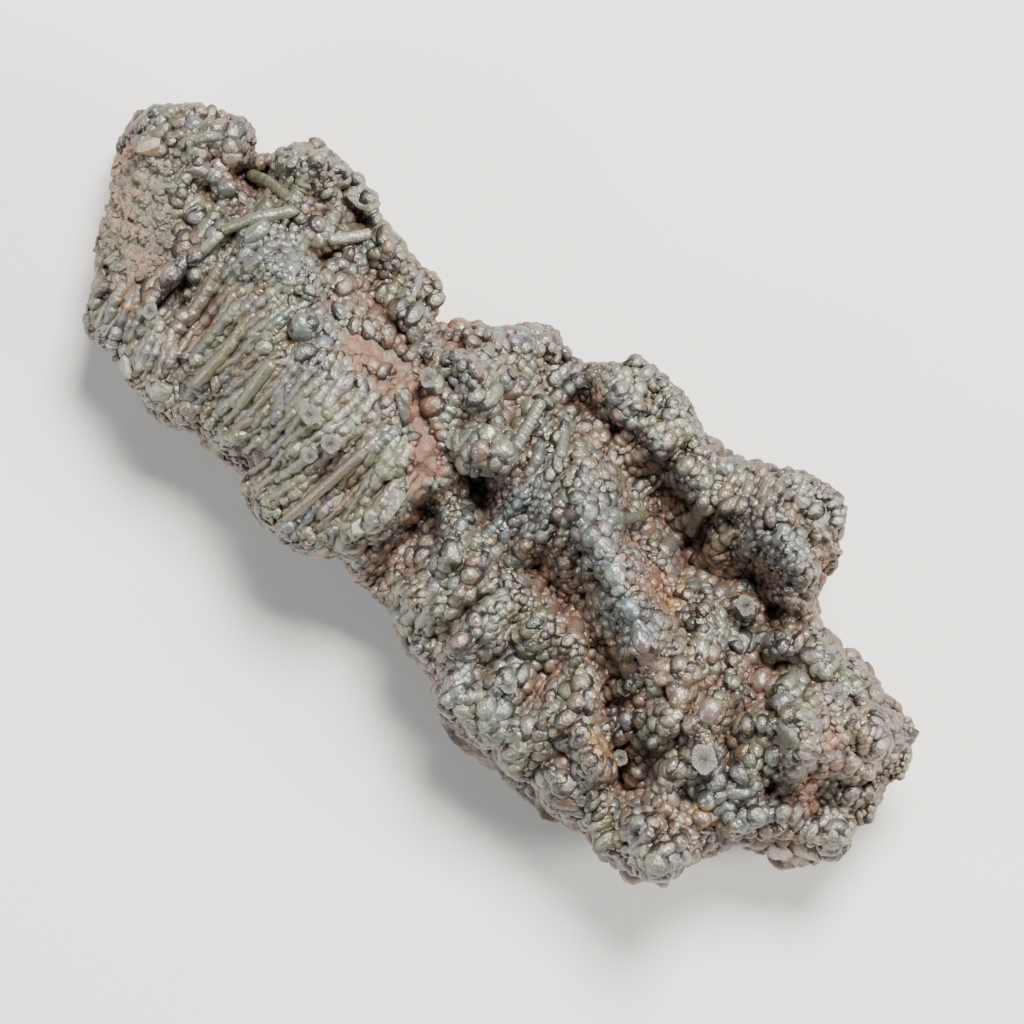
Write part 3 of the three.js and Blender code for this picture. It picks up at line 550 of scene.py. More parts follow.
class Crust:
    """The grown body under the small beads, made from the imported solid."""

    def __init__(self, size: CrustSize, node: Piece) -> None:
        """Keeps the measures and the solid it is made from.

        Args:
            size: measures of the body.
            node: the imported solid.
        """
        self.size = size
        self.node = node
        self.mesh: Mesh | None = None
        self.tree: BVHTree | None = None
        self.relief = np.zeros(0)

    def build(self) -> Piece:
        """Makes the body with its swells, flutes and pits.

        Returns:
            The finished object.
        """
        mesh = self._even_mesh()
        corners = corners_of(mesh)
        normals = normals_of(mesh)
        shift = self._shift(corners, normals)
        rest = self._rests(corners, normals)
        corners = corners + normals * shift[:, None]
        corners[:, 2] += smooth(normals[:, 2], 0.0, 0.5) * self._landmarks(corners)
        knee = self.size.knee
        over = np.maximum(corners[:, 2] - (self.size.highest - knee), 0)
        corners[:, 2] -= over - knee * (1 - np.exp(-over / knee))
        corners[:, 2] = np.maximum(corners[:, 2] * (1 - rest), 0.0)
        mesh.vertices.foreach_set("co", (corners * MM).astype(np.float32).ravel())
        mesh.update()
        mesh.shade_smooth()
        self.mesh = mesh
        self.relief = shift
        self.tree = self._tree_of(mesh)
        return put_in_scene("goethite_crust", mesh)

    def _landmarks(self, corners: Array) -> Array:
        """Rise of the humps, plates and ridges less the depth of the furrows and pits.

        Args:
            corners: positions in millimetres.

        Returns:
            One height in millimetres for each corner.
        """
        rise = np.zeros(len(corners))
        torn = corners + 0.35 * np.stack([Wobble(SEED + k, 2.6).at(corners) for k in (14, 15, 16)], axis=1)
        for places, plateau in ((HUMPS, False), (PLATES, True)):
            for x, y, along, across, height, turn in places:
                angle = math.radians(turn)
                dx, dy = torn[:, 0] - x, torn[:, 1] - y
                u = (dx * math.cos(angle) + dy * math.sin(angle)) / along
                v = (dy * math.cos(angle) - dx * math.sin(angle)) / across
                if plateau:
                    rise += height * smooth((u**4 + v**4) ** 0.25, 1.15, 0.85)
                else:
                    rise += height * np.sqrt(np.clip(1 - u * u - v * v, 0, 1))
        for line, half_width, height in RIDGES:
            rise += height * np.sqrt(np.clip(1 - Band(line, half_width).gap(torn) ** 2, 0, 1))
        for line, half_width, depth in FURROWS:
            rise -= depth * np.exp(-((Band(line, half_width).gap(torn)) ** 2))
        for x, y, reach, depth in PITS:
            gap = np.hypot(corners[:, 0] - x, corners[:, 1] - y) / reach
            rise -= 1.4 * depth * np.exp(-gap * gap)
        return rise

    def _even_mesh(self) -> Mesh:
        """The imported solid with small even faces, its edges rounded off.

        Returns:
            The remeshed body, not yet moved into its forms.
        """
        shape = bmesh.new()
        shape.from_mesh(self.node.data)
        bmesh.ops.remove_doubles(shape, verts=shape.verts[:], dist=0.01 * MM)
        bmesh.ops.recalc_face_normals(shape, faces=shape.faces[:])
        coarse = bpy.data.meshes.new("coarse")
        shape.to_mesh(coarse)
        shape.free()
        holder = put_in_scene("holder", coarse)
        remesh = holder.modifiers.new("even", "REMESH")
        remesh.mode = "VOXEL"
        remesh.voxel_size = self.size.voxel * MM
        seen = holder.evaluated_get(bpy.context.evaluated_depsgraph_get())
        shape = bmesh.new()
        shape.from_mesh(seen.to_mesh())
        seen.to_mesh_clear()
        bpy.data.objects.remove(holder)
        bpy.data.meshes.remove(coarse)
        for _ in range(self.size.smoothing):
            bmesh.ops.smooth_vert(
                shape, verts=shape.verts[:], factor=0.5, use_axis_x=True, use_axis_y=True, use_axis_z=True
            )
        bmesh.ops.triangulate(shape, faces=shape.faces[:])
        even = bpy.data.meshes.new("goethite_crust")
        shape.to_mesh(even)
        shape.free()
        return even

    def _shift(self, corners: Array, normals: Array) -> Array:
        """How far each corner moves outward: the grown relief less the inset.

        Args:
            corners: positions in millimetres.
            normals: outward directions.

        Returns:
            One distance in millimetres for each corner.
        """
        size = self.size
        flutes = fluted_share(corners)
        bare = share_of(GROWTH_PLACES[Growth.BARE], corners)
        top = smooth(normals[:, 2], -0.1, 0.35)
        flutes = flutes * top
        bare = np.maximum(bare * top, 0.0)
        heads = self._cells(corners, size.head_radius, 0.6, SEED + 9) * size.head_height
        round_swell = self._cells(corners, size.dome_radius, 0.85, SEED + 1) * size.dome_height
        long_swell = self._cells(corners, size.flute_radius, size.flute_stretch, SEED + 2) * size.flute_height
        swell = round_swell * (1 - flutes) + long_swell * flutes
        swell += heads * (1 - 0.75 * flutes) + 0.6 * size.head_height * flutes
        uneven = size.unevenness * Wobble(SEED + 3, 5.0).at(corners)
        grit = Wobble(SEED + 4, 1.1).at(corners) + 0.6 * Wobble(SEED + 5, 0.7).at(corners)
        grit = grit * size.grit * (1 + 2.2 * bare)
        flat = 0.35 * size.dome_height + 0.6 * size.inset
        swell = swell * (1 - bare) + flat * bare
        shift = (swell - size.inset) * (0.4 + 0.6 * top) + uneven * (1 - 0.8 * bare) + grit
        return np.minimum(shift, 0.1)

    def _cells(self, corners: Array, radius: float, stretch: float, seed: int) -> Array:
        """Rounded cells with sharp creases between them.

        Args:
            corners: positions in millimetres.
            radius: mean reach of a cell.
            stretch: factor on y, below 1 for cells long in y.
            seed: start of the random draw.

        Returns:
            Height of the cell at each corner, from 0 to about 1.
        """
        draw = np.random.default_rng(seed)
        pressed = corners * np.array([1.0, stretch, 1.0])
        pick = np.array(dart_throw(pressed, np.full(len(pressed), radius * 0.62), draw, 1.0))
        tree = KDTree(len(pick))
        for number, index in enumerate(pick):
            tree.insert(pressed[index], number)
        tree.balance()
        tall = draw.uniform(0.55, 1.15, len(pick))
        wide = draw.uniform(0.85, 1.2, len(pick)) * radius
        height = np.zeros(len(corners))
        for index, point in enumerate(pressed):
            _, number, gap = tree.find(point)
            height[index] = tall[number] * math.sqrt(max(0.0, 1 - (gap / wide[number]) ** 2))
        return height

    def _rests(self, corners: Array, normals: Array) -> Array:
        """How far each corner belongs to the flat face that it rests on, from 0 to 1."""
        low = 1 - smooth(corners[:, 2], self.size.rest_level, 3 * self.size.rest_level)
        return low * smooth(-normals[:, 2], 0.2, 0.8)

    def _tree_of(self, mesh: Mesh) -> BVHTree:
        """Search tree over the faces, in millimetres.

        Args:
            mesh: a mesh with triangles only.

        Returns:
            The tree.
        """
        flat = np.zeros(len(mesh.loops), np.int32)
        mesh.loops.foreach_get("vertex_index", flat)
        self.faces = flat.reshape(-1, 3)
        return BVHTree.FromPolygons(corners_of(mesh).tolist(), self.faces.tolist())

    def seat(self, x: float, y: float) -> float:
        """Height of the upper side over a point, never under the lowest seat."""
        return max(self.level(x, y), LOWEST_SEAT)

    def level(self, x: float, y: float) -> float:
        """Height of the upper side over a point.

        Args:
            x: position in millimetres.
            y: position in millimetres.

        Returns:
            The height in millimetres, or a negative value beside the body.
        """
        place, _, _, _ = self.tree.ray_cast(Vector((x, y, SKY)), Vector((0, 0, -1)))
        return place.z if place else -1.0

    def scatter(self, count: int, seed: int) -> tuple[Array, Array]:
        """Random points spread evenly over the whole surface.

        Args:
            count: number of points.
            seed: start of the random draw.

        Returns:
            Positions in millimetres and outward directions.
        """
        draw = np.random.default_rng(seed)
        corners = corners_of(self.mesh)
        normals = normals_of(self.mesh)
        a, b, c = (corners[self.faces[:, k]] for k in range(3))
        area = np.linalg.norm(np.cross(b - a, c - a), axis=1)
        pick = draw.choice(len(area), count, p=area / area.sum())
        u = draw.random((count, 2))
        fold = u.sum(axis=1) > 1
        u[fold] = 1 - u[fold]
        weights = np.stack([1 - u.sum(axis=1), u[:, 0], u[:, 1]], axis=1)
        place = sum(weights[:, k : k + 1] * corners[self.faces[pick, k]] for k in range(3))
        facing = sum(weights[:, k : k + 1] * normals[self.faces[pick, k]] for k in range(3))
        facing /= np.linalg.norm(facing, axis=1)[:, None]
        return place, facing


def dart_throw(points: Array, radii: Array, draw: Draw, closeness: float) -> list[int]:
    """Picks points in random order that keep their distance from each other.

    Args:
        points: candidates in millimetres.
        radii: reach of each.
        draw: random generator.
        closeness: share of the summed reaches kept free.

    Returns:
        Numbers of the picked points.
    """
    order = np.argsort(-radii + draw.normal(0, 0.12, len(radii)) * radii)
    cell = 2 * float(radii.max()) * closeness
    keys = np.floor(points / cell).astype(int)
    around = [(i, j, k) for i in (-1, 0, 1) for j in (-1, 0, 1) for k in (-1, 0, 1)]
    store: dict[tuple[int, int, int], list[tuple[float, float, float, float]]] = {}
    kept: list[int] = []
    rows = points.tolist()
    reach = (radii * closeness).tolist()
    for index in order.tolist():
        x, y, z = rows[index]
        r = reach[index]
        i, j, k = keys[index]
        free = True
        for di, dj, dk in around:
            for px, py, pz, pr in store.get((i + di, j + dj, k + dk), ()):
                if (px - x) ** 2 + (py - y) ** 2 + (pz - z) ** 2 < (pr + r) ** 2:
                    free = False
                    break
            if not free:
                break
        if free:
            store.setdefault((i, j, k), []).append((x, y, z, r))
            kept.append(index)
    return kept


class Envelope:
    """Smoothed level of the upper side, to tell tops from hollows."""

    def __init__(self, corners: Array, cell: float = 1.0, blur: int = 3) -> None:
        """Fills and blurs the level map.

        Args:
            corners: positions of the crust in millimetres.
            cell: width of a map cell in millimetres.
            blur: passes of the blur.
        """
        self.cell = cell
        self.low = corners[:, :2].min(axis=0) - 3
        across = np.ceil((corners[:, :2].max(axis=0) + 3 - self.low) / cell).astype(int) + 1
        total = np.full(across, -1.0)
        keys = ((corners[:, :2] - self.low) / cell).astype(int)
        np.maximum.at(total, (keys[:, 0], keys[:, 1]), corners[:, 2])
        known = (total > 0).astype(float)
        level = np.where(total > 0, total, 0.0)
        for _ in range(blur):
            level, known = self._spread(level), self._spread(known)
        self.level = level / np.maximum(known, 1e-3)

    @staticmethod
    def _spread(grid: Array) -> Array:
        """One pass of a small blur."""
        wide = np.pad(grid, 1, mode="edge")
        return sum(wide[i : i + grid.shape[0], j : j + grid.shape[1]] for i in range(3) for j in range(3)) / 9

    def hollow(self, points: Array) -> Array:
        """How deep each point lies under the smoothed level, in millimetres.

        Args:
            points: positions in millimetres.

        Returns:
            One depth a point.
        """
        keys = ((points[:, :2] - self.low) / self.cell).astype(int)
        keys = np.clip(keys, 0, np.array(self.level.shape) - 1)
        return self.level[keys[:, 0], keys[:, 1]] - points[:, 2]


class Painter:
    """Writes the marks that the finishes read onto a piece."""

    PATCHES = {
        "patch_a": (Tint.IRON, Tint.BLUE, Tint.PINK),
        "patch_b": (Tint.PALE, Tint.OCHRE, Tint.MATRIX),
    }

    def __init__(self, envelope: Envelope) -> None:
        """Keeps the level map.

        Args:
            envelope: smoothed height map of the top.
        """
        self.envelope = envelope
        self.drift = Wobble(SEED + 7, 7.0)
        self.speckle = Wobble(SEED + 8, 2.2)

    def paint(self, mesh: Mesh, crease_shade_and_tint: Array, depth: float = 1.0) -> None:
        """Writes the patch shares and the marks of painted crease shade, own tint and hollow.

        Args:
            mesh: the piece's mesh, finished.
            crease_shade_and_tint: two values a corner, share of painted crease shade and own tint.
            depth: factor on the hollow share.
        """
        corners = corners_of(mesh)
        torn = corners + 0.7 * np.stack(
            [self.speckle.at(corners), self.speckle.at(corners[:, ::-1]), np.zeros(len(corners))], axis=1
        )
        shares = {tint: share_of(TINT_PLACES[tint], torn) for tint in Tint}
        facing = normals_of(mesh)[:, 2]
        under = 1 - smooth(facing, -0.5, 0.25)
        low = 1 - smooth(corners[:, 2], 2.0, 8.0)
        shares[Tint.MATRIX] = np.maximum(shares[Tint.MATRIX], 0.75 * np.maximum(under, low))
        hollow = depth * smooth(self.envelope.hollow(corners), -0.2, 1.8)
        for name, tints in self.PATCHES.items():
            set_marks(mesh, name, np.stack([shares[tint] for tint in tints], axis=1))
        # First value: share of painted crease shade; second: own tint; third: hollow share.
        set_marks(mesh, "crease_shade_and_tint", np.stack([crease_shade_and_tint[:, 0], crease_shade_and_tint[:, 1], hollow], axis=1))


class Shelf:
    """Collects small closed shapes and makes one piece of them."""

    def __init__(self, name: str) -> None:
        """Starts an empty collection under the piece's name.

        Args:
            name: the piece's name.
        """
        self.name = name
        self.corners: list[Array] = []
        self.faces: list[Array] = []
        self.crease_shade_and_tint: list[Array] = []
        self.total = 0

    def add(self, corners: Array, faces: Array, crease_shade: Array, tint: float) -> None:
        """Adds one shape.

        Args:
            corners: positions in millimetres.
            faces: three corner numbers a row.
            crease_shade: share of painted crease shade at each corner.
            tint: own tint of the shape, from 0 to 1.
        """
        self.corners.append(corners)
        self.faces.append(faces + self.total)
        self.crease_shade_and_tint.append(np.stack([crease_shade, np.full(len(corners), tint)], axis=1))
        self.total += len(corners)

    def piece(self, painter: Painter, limits: Limits) -> Piece:
        """Joins the shapes into one object, kept inside the limits.

        Args:
            painter: writes the marks.
            limits: lowest and highest corner allowed, in millimetres.

        Returns:
            The object.
        """
        corners = np.clip(np.concatenate(self.corners), *limits)
        mesh = mesh_from_arrays(self.name, corners, np.concatenate(self.faces))
        painter.paint(mesh, np.concatenate(self.crease_shade_and_tint))
        return put_in_scene(self.name, mesh)


class Tube:
    """A round closed rod that follows a line, warped from a sphere."""

    def __init__(self, sides: int, rings: int) -> None:
        """Makes the sphere that every rod of this kind is warped from.

        Args:
            sides: corners around.
            rings: steps along.
        """
        shape = bmesh.new()
        bmesh.ops.create_uvsphere(shape, u_segments=sides, v_segments=rings, radius=1.0)
        corners, self.faces = template_arrays(shape)
        self.rings = rings
        height = np.clip(corners[:, 2], -1, 1)
        self.ring = np.rint(np.arccos(height) / math.pi * rings).astype(int)
        flat = np.hypot(corners[:, 0], corners[:, 1])
        safe = np.maximum(flat, 1e-6)
        self.around = np.stack([corners[:, 0] / safe, corners[:, 1] / safe], axis=1)
        self.around[flat < 1e-4] = 0

    def warp(self, line: Array, radius: Array, up: Array) -> tuple[Array, Array]:
        """Bends the rod along a line.

        Args:
            line: rings + 1 centres in millimetres.
            radius: rings + 1 radii, near 0 at the ends.
            up: direction that the rod's upper side faces.

        Returns:
            The corners in millimetres and how far each lies on the underside.
        """
        run = np.gradient(line, axis=0)
        run /= np.maximum(np.linalg.norm(run, axis=1), 1e-9)[:, None]
        side = np.cross(run, up)
        side /= np.maximum(np.linalg.norm(side, axis=1), 1e-9)[:, None]
        over = np.cross(side, run)
        pick = self.ring
        turn = self.around
        corners = line[pick] + radius[pick][:, None] * (turn[:, :1] * side[pick] + turn[:, 1:] * over[pick])
        return corners, 0.5 - 0.5 * turn[:, 1]


def rounded(rings: int, length: float, radius: float, cap: float = 1.0) -> tuple[Array, Array]:
    """Places along a rod and its radii, with rounded ends.

    Args:
        rings: steps along.
        length: full length in millimetres.
        radius: radius in millimetres.
        cap: length of each rounded end in radii.

    Returns:
        Shares of the length from 0 to 1, and the radii.
    """
    ends = min(cap * radius, length * 0.45)
    turn = np.linspace(0, math.pi / 2, 3)
    head = ends * (1 - np.cos(turn))
    middle = np.linspace(ends, length - ends, rings + 1 - 4)[1:-1] if rings > 5 else np.array([])
    run = np.concatenate([head, middle, length - head[::-1]])
    near = np.minimum(run, length - run)
    size = radius * np.sqrt(np.clip(1 - (1 - np.minimum(near / ends, 1)) ** 2, 0, 1))
    return run / length, size


@dataclass
class Cover:
    """Small growth: the crust it sits on, who marks it, and the lowest and highest corner allowed."""

    crust: Crust
    painter: Painter
    limits: Limits


@dataclass(frozen=True)
class BeadSize:
    """Measures of the small beads, in millimetres."""

    tries: int = 170000
    smallest: float = 0.34
    largest: float = 1.15
    closeness: float = 0.53
    lift: float = -0.38
    cut: float = 0.0
    variants: int = 12
    unevenness: float = 0.08
    pieces: int = 5
    sway: float = 0.6
    lean: float = 0.16
    rise: float = 0.18
    # Where the painted crease shade starts on each bead and how far down it spreads.
    crease_top: float = 0.99
    crease_span: float = 0.46
    side_share: float = 0.10
    lowest_side: float = 2.5
    lowest: float = 1.5


@dataclass
class Beads(Cover):
    """Thousands of small rounded grains that cover the crust."""

    STRETCH = ((0.95, 1.5), (0.88, 1.05), (0.85, 1.15))

    size: BeadSize = BeadSize()

    def templates(self) -> tuple[Array, Array]:
        """Several lumpy balls of the same faces.

        Returns:
            The corners of each ball and the shared triangles.
        """
        shape = bmesh.new()
        bmesh.ops.create_icosphere(shape, subdivisions=2, radius=1.0)
        hidden = [v for v in shape.verts if v.co.z < self.size.cut]
        bmesh.ops.delete(shape, geom=hidden, context="VERTS")
        bmesh.ops.holes_fill(shape, edges=[e for e in shape.edges if e.is_boundary], sides=0)
        ball, faces = template_arrays(shape)
        lumpy = []
        for number in range(self.size.variants):
            swell = 1 + self.size.unevenness * Wobble(SEED + 30 + number, 1.1).at(ball)
            lumpy.append(ball * swell[:, None])
        return np.stack(lumpy), faces

    def build(self) -> list[Piece]:
        """Places and joins the beads.

        Returns:
            The pieces.
        """
        draw = np.random.default_rng(SEED + 20)
        place, facing = self.crust.scatter(self.size.tries, SEED + 21)
        radii = self._radii(place, draw)
        keep = draw.random(len(place)) < self._cover(place, facing)
        place, facing, radii = place[keep], facing[keep], radii[keep]
        pick = np.array(dart_throw(place, radii, draw, self.size.closeness))
        pick = pick[np.argsort(place[pick, 0])]
        LOG.info("beads: %d placed", len(pick))
        corners, faces = self.templates()
        made = []
        for number, chunk in enumerate(np.array_split(pick, self.size.pieces)):
            shelf = Shelf(f"beads_{number + 1}")
            self._fill(shelf, corners, faces, place[chunk], facing[chunk], radii[chunk], draw)
            made.append(shelf.piece(self.painter, self.limits))
        return made

    def _radii(self, place: Array, draw: Draw) -> Array:
        """Bead radii by place: fine on the far lobes, coarser near the front.

        Args:
            place: candidate positions in millimetres.
            draw: random source.

        Returns:
            One radius a candidate.
        """
        size = self.size
        spread = draw.beta(1.2, 3.2, len(place))
        radii = size.smallest + (size.largest - size.smallest) * spread
        patchy = 1 + 0.2 * Wobble(SEED + 22, 4.0).at(place)
        fine = smooth(place[:, 1], 6, 12) * smooth(place[:, 0], -2, 4)
        small = FINE_BEADS.share(place)
        coarse = smooth(-place[:, 1], 4, 10) * smooth(place[:, 0], -4, 2)
        radii *= patchy * (1 - 0.12 * fine - 0.18 * small + 0.15 * coarse)
        return np.clip(radii, size.smallest, size.largest * 1.15)

    def _cover(self, place: Array, facing: Array) -> Array:
        """Chance that a candidate is kept.

        Args:
            place: candidate positions in millimetres.
            facing: outward directions there.

        Returns:
            One chance a candidate, 0 to 1.
        """
        flutes = fluted_share(place)
        bare = share_of(GROWTH_PLACES[Growth.BARE], place)
        top = smooth(facing[:, 2], -0.35, 0.15)
        side = self.size.side_share * (place[:, 2] > self.size.lowest_side)
        chance = np.maximum(top, side)
        chance *= np.clip(1 - 1.15 * flutes, 0, 1) * np.clip(1 - 1.5 * bare, 0, 1)
        chance[place[:, 2] < self.size.lowest] = 0
        return chance

    def _fill(
        self,
        shelf: Shelf,
        corners: Array,
        faces: Array,
        place: Array,
        facing: Array,
        radii: Array,
        draw: Draw,
    ) -> None:
        """Adds a bead at each place.

        Args:
            shelf: collection to add to.
            corners: corners of each of the balls.
            faces: their triangles.
            place: positions in millimetres.
            facing: outward directions.
            radii: radii in millimetres.
            draw: random generator.
        """
        count = len(place)
        size = self.size
        spin = -math.pi / 2 + draw.normal(0, size.sway, count)
        tilt = facing + draw.normal(0, size.lean, (count, 3))
        tilt[:, 2] += size.rise
        tilt /= np.linalg.norm(tilt, axis=1)[:, None]
        flow = np.stack([np.cos(spin), np.sin(spin), np.zeros(count)], axis=1)
        side = np.cross(tilt, flow)
        side /= np.maximum(np.linalg.norm(side, axis=1), 1e-6)[:, None]
        flow = np.cross(side, tilt)
        stretch = np.stack([draw.uniform(low, high, count) for low, high in self.STRETCH], axis=1)
        basis = np.stack([flow, side, tilt], axis=1) * (stretch * radii[:, None])[:, :, None]
        centre = place + facing * (radii * size.lift)[:, None]
        tints = draw.random(count)
        shapes = corners[draw.integers(0, len(corners), count)]
        turned = np.einsum("nvk,nkj->nvj", shapes, basis) + centre[:, None, :]
        # Painted shade: the lower part of each bead is marked for darkening.
        crease_shade = np.clip((size.crease_top - shapes[:, :, 2]) / size.crease_span, 0, 1).ravel()
        each = corners.shape[1]
        shelf.corners.append(turned.reshape(-1, 3))
        offset = (np.arange(count) * each)[:, None, None]
        shelf.faces.append((faces[None] + offset).reshape(-1, 3) + shelf.total)
        crease_shade_and_tint = np.stack([crease_shade, np.repeat(tints, each)], axis=1)
        shelf.crease_shade_and_tint.append(crease_shade_and_tint)
        shelf.total += turned.shape[0] * turned.shape[1]


@dataclass(frozen=True)
class FingerKind:
    """One kind of finger: where it grows, how it bends and its measures in millimetres."""

    name: str
    fluted: bool
    elsewhere: float
    tries: int
    rings: int
    thin: float
    thick: float
    short: float
    long: float
    lift: float
    bump: float
    pitch: float
    crowding: float
    sway: float
    sides: int = 8


FLUTES = FingerKind(
    name="flutes",
    fluted=True,
    elsewhere=0.0,
    tries=26000,
    rings=24,
    thin=0.38,
    thick=0.8,
    short=1.6,
    long=8.5,
    lift=-0.1,
    bump=0.17,
    pitch=1.25,
    crowding=0.66,
    sway=8,
)
BEADED_FINGERS = FingerKind(
    name="beaded_fingers",
    fluted=False,
    elsewhere=0.5,
    tries=9000,
    rings=17,
    thin=0.5,
    thick=0.95,
    short=1.8,
    long=5.0,
    lift=0.05,
    bump=0.17,
    pitch=0.95,
    crowding=1.15,
    sway=22,
)


@dataclass
class Fingers(Cover):
    """Fused fingers that lie along the flow of the growth."""

    FIELD = (47, 20)

    kind: FingerKind = FLUTES

    def __post_init__(self) -> None:
        """Makes the tube that every finger is warped from, and the sway of their flow."""
        self.tube = Tube(self.kind.sides, self.kind.rings)
        self.bend = Wobble(SEED + 45, 9.0)

    def build(self) -> Piece:
        """Places and joins the fingers.

        Returns:
            The piece.
        """
        draw = np.random.default_rng(SEED + 40 + self.kind.rings)
        shelf = Shelf(self.kind.name)
        taken = np.zeros((0, 4))
        for x, y, angle, radius, length in self._candidates(draw):
            run = np.array([math.cos(angle), math.sin(angle)])
            gap = taken[:, :2] - np.array([x, y])
            along = np.abs(gap @ run) / (0.40 * (taken[:, 2] + length))
            across = np.abs(gap @ np.array([-run[1], run[0]])) / (self.kind.crowding * (taken[:, 3] + radius))
            if len(taken) and np.any(along * along + across * across < 1):
                continue
            if self._lay(shelf, x, y, run, radius, length, draw):
                taken = np.vstack([taken, [x, y, length, radius]])
        LOG.info("%s: %d placed", self.kind.name, len(taken))
        return shelf.piece(self.painter, self.limits)

    def _candidates(self, draw: Draw) -> list[tuple[float, float, float, float, float]]:
        """Random fingers, the long ones first.

        Args:
            draw: random generator.

        Returns:
            Middle, angle, radius and length of each.
        """
        kind = self.kind
        x, y = (draw.uniform(-reach, reach, kind.tries) for reach in self.FIELD)
        place = np.stack([x, y, np.zeros(kind.tries)], axis=1)
        chance = np.full(kind.tries, kind.elsewhere)
        fluted = fluted_share(place)
        chance = np.maximum(chance * (1 - fluted), fluted if kind.fluted else 0)
        slanted = share_of(GROWTH_PLACES[Growth.SLANTED], place)
        ridge = Band(LONG_RIDGE, 2.6).share(place)
        bare = share_of(GROWTH_PLACES[Growth.BARE], place)
        keep = draw.random(kind.tries) < chance * np.clip(1 - 1.6 * bare, 0, 1)
        bend = self.bend.at(place)
        found = []
        for point, lean, along, turn in zip(place[keep], slanted[keep], ridge[keep], bend[keep]):
            length = kind.short + (kind.long - kind.short) * draw.beta(1.2, 2.6) * (1 - 0.45 * lean)
            radius = draw.uniform(kind.thin, kind.thick) * (1 + 0.15 * lean)
            angle = -90 + 24 * lean + 50 * along + kind.sway * (0.5 * turn + draw.normal(0, 0.8))
            found.append((float(point[0]), float(point[1]), math.radians(angle), radius, length))
        ends = np.array(
            [
                (x + half * math.cos(angle), y + half * math.sin(angle), 0.0)
                for x, y, angle, _, length in found
                for half in (-length / 2, length / 2)
            ]
        )
        covered = share_of(GROWTH_PLACES[Growth.BARE], ends).reshape(-1, 2).max(axis=1)
        found = [row for row, share in zip(found, covered) if share < 0.6]
        return sorted(found, key=lambda row: -row[4])

    def _lay(
        self,
        shelf: Shelf,
        x: float,
        y: float,
        run: Array,
        radius: float,
        length: float,
        draw: Draw,
    ) -> bool:
        """Lays one finger on the crust.

        Args:
            shelf: collection to add to.
            x: middle in millimetres.
            y: middle in millimetres.
            run: direction seen from above.
            radius: radius in millimetres.
            length: length in millimetres.
            draw: random generator.

        Returns:
            False where the finger would hang over the edge.
        """
        kind = self.kind
        share, size = rounded(kind.rings, length, radius)
        start = np.array([x, y]) - run * length / 2
        # Painted shade: where the crust is sunk deepest it is marked for darkening.
        flat = start + share[:, None] * run * length
        sway = np.sin(share * draw.uniform(2, 5) + draw.uniform(0, 6)) * 0.12
        flat = flat + sway[:, None] * np.array([-run[1], run[0]])
        level = np.array([self.crust.level(*point) for point in flat])
        if level.min() < 5 or np.ptp(level) > 5.0 or np.abs(np.diff(level)).max() > 1.4:
            return False
        reach = kind.rings // 4
        span = 2 * reach + 1
        level = np.convolve(np.pad(level, reach, mode="edge"), np.ones(span) / span, mode="valid")
        lift = kind.lift * radius + 0.1 * draw.random()
        dip = radius * 0.9 * (share**4 + (1 - share) ** 4)
        line = np.column_stack([flat, np.minimum(level + lift, self.crust.size.highest - 0.5) - dip])
        size = size * (1 + kind.bump * np.sin(share * length * 2 * math.pi / kind.pitch + draw.uniform(0, 6)))
        size *= 1 + draw.normal(0, 0.05, len(size))
        corners, under = self.tube.warp(line, size, UP)
        # Painted shade: the underside of each finger is marked for darkening.
        shelf.add(corners, self.tube.faces, under * 0.9, draw.random())
        return True


@dataclass(frozen=True)
class Rod:
    """One free rod: its line seen from above with lifts, and its radius, in millimetres."""

    line: tuple[tuple[float, float, float], ...]
    radius: float
    ribs: float = 1.1
    depth: float = 0.06


RODS = (
    Rod(((-36.0, -9.5, 0.5), (-35.4, -5.0, 0.7), (-35.2, -1.0, 0.7), (-35.0, 1.0, 0.5)), 0.55, 1.6, 0.04),
    Rod(((-35.2, 0.6, 0.4), (-33.6, 3.6, 1.0), (-31.0, 7.0, 0.7)), 0.58, 1.7, 0.04),
    Rod(((-37.6, 6.6, 0.5), (-34.8, 7.4, 1.0), (-32.0, 7.3, 0.6)), 0.62, 1.5, 0.05),
    Rod(((-27.2, 6.8, 0.5), (-25.8, 8.4, 1.0), (-24.4, 10.2, 0.6)), 0.6, 1.5, 0.05),
    Rod(((-0.2, 3.8, 1.2), (-0.7, 6.4, 1.2), (-1.4, 9.2, 0.6)), 0.62, 0.62, 0.12),
    Rod(((1.4, 9.6, 0.6), (2.5, 8.0, 1.1), (3.6, 6.2, 0.5)), 0.58, 0.9, 0.08),
    Rod(((9.7, 8.4, 1.2), (10.1, 6.6, 1.6), (10.5, 4.4, 1.0)), 0.45, 0.9, 0.06),
    Rod(((13.6, 7.8, 1.4), (12.4, 6.3, 1.8), (11.1, 4.6, 1.2)), 0.5, 0.9, 0.06),
    Rod(((16.5, 12.6, 1.4), (17.2, 11.0, 2.0), (18.0, 9.3, 2.2)), 0.62, 0.7, 0.10),
    Rod(((34.6, 6.2, 0.8), (34.4, 4.6, 1.2), (34.0, 2.8, 0.9)), 0.75, 0.75, 0.08),
    Rod(((-10.3, -0.4, 0.3), (-10.7, -6.0, 0.6), (-11.3, -11.0, 0.5), (-12.1, -16.2, 0.2)), 0.58, 2.2, 0.05),
    Rod(((-22.9, -5.2, 0.4), (-22.6, -10.0, 0.5), (-22.0, -15.6, 0.2)), 0.68, 2.0, 0.05),
    Rod(((-43.0, 5.4, 0.6), (-42.2, 6.6, 0.9), (-41.2, 7.8, 0.4)), 0.5, 1.0, 0.06),
    Rod(((-33.2, -1.4, 0.3), (-32.4, -4.6, 0.6), (-31.9, -8.6, 0.3)), 0.72, 1.5, 0.08),
    Rod(((-30.2, -2.6, 0.2), (-29.4, -6.4, 0.5), (-29.0, -10.4, 0.2)), 0.66, 1.5, 0.07),
    Rod(((-27.4, -3.6, 0.2), (-27.0, -8.0, 0.4), (-27.2, -12.2, 0.2)), 0.6, 1.8, 0.07),
)


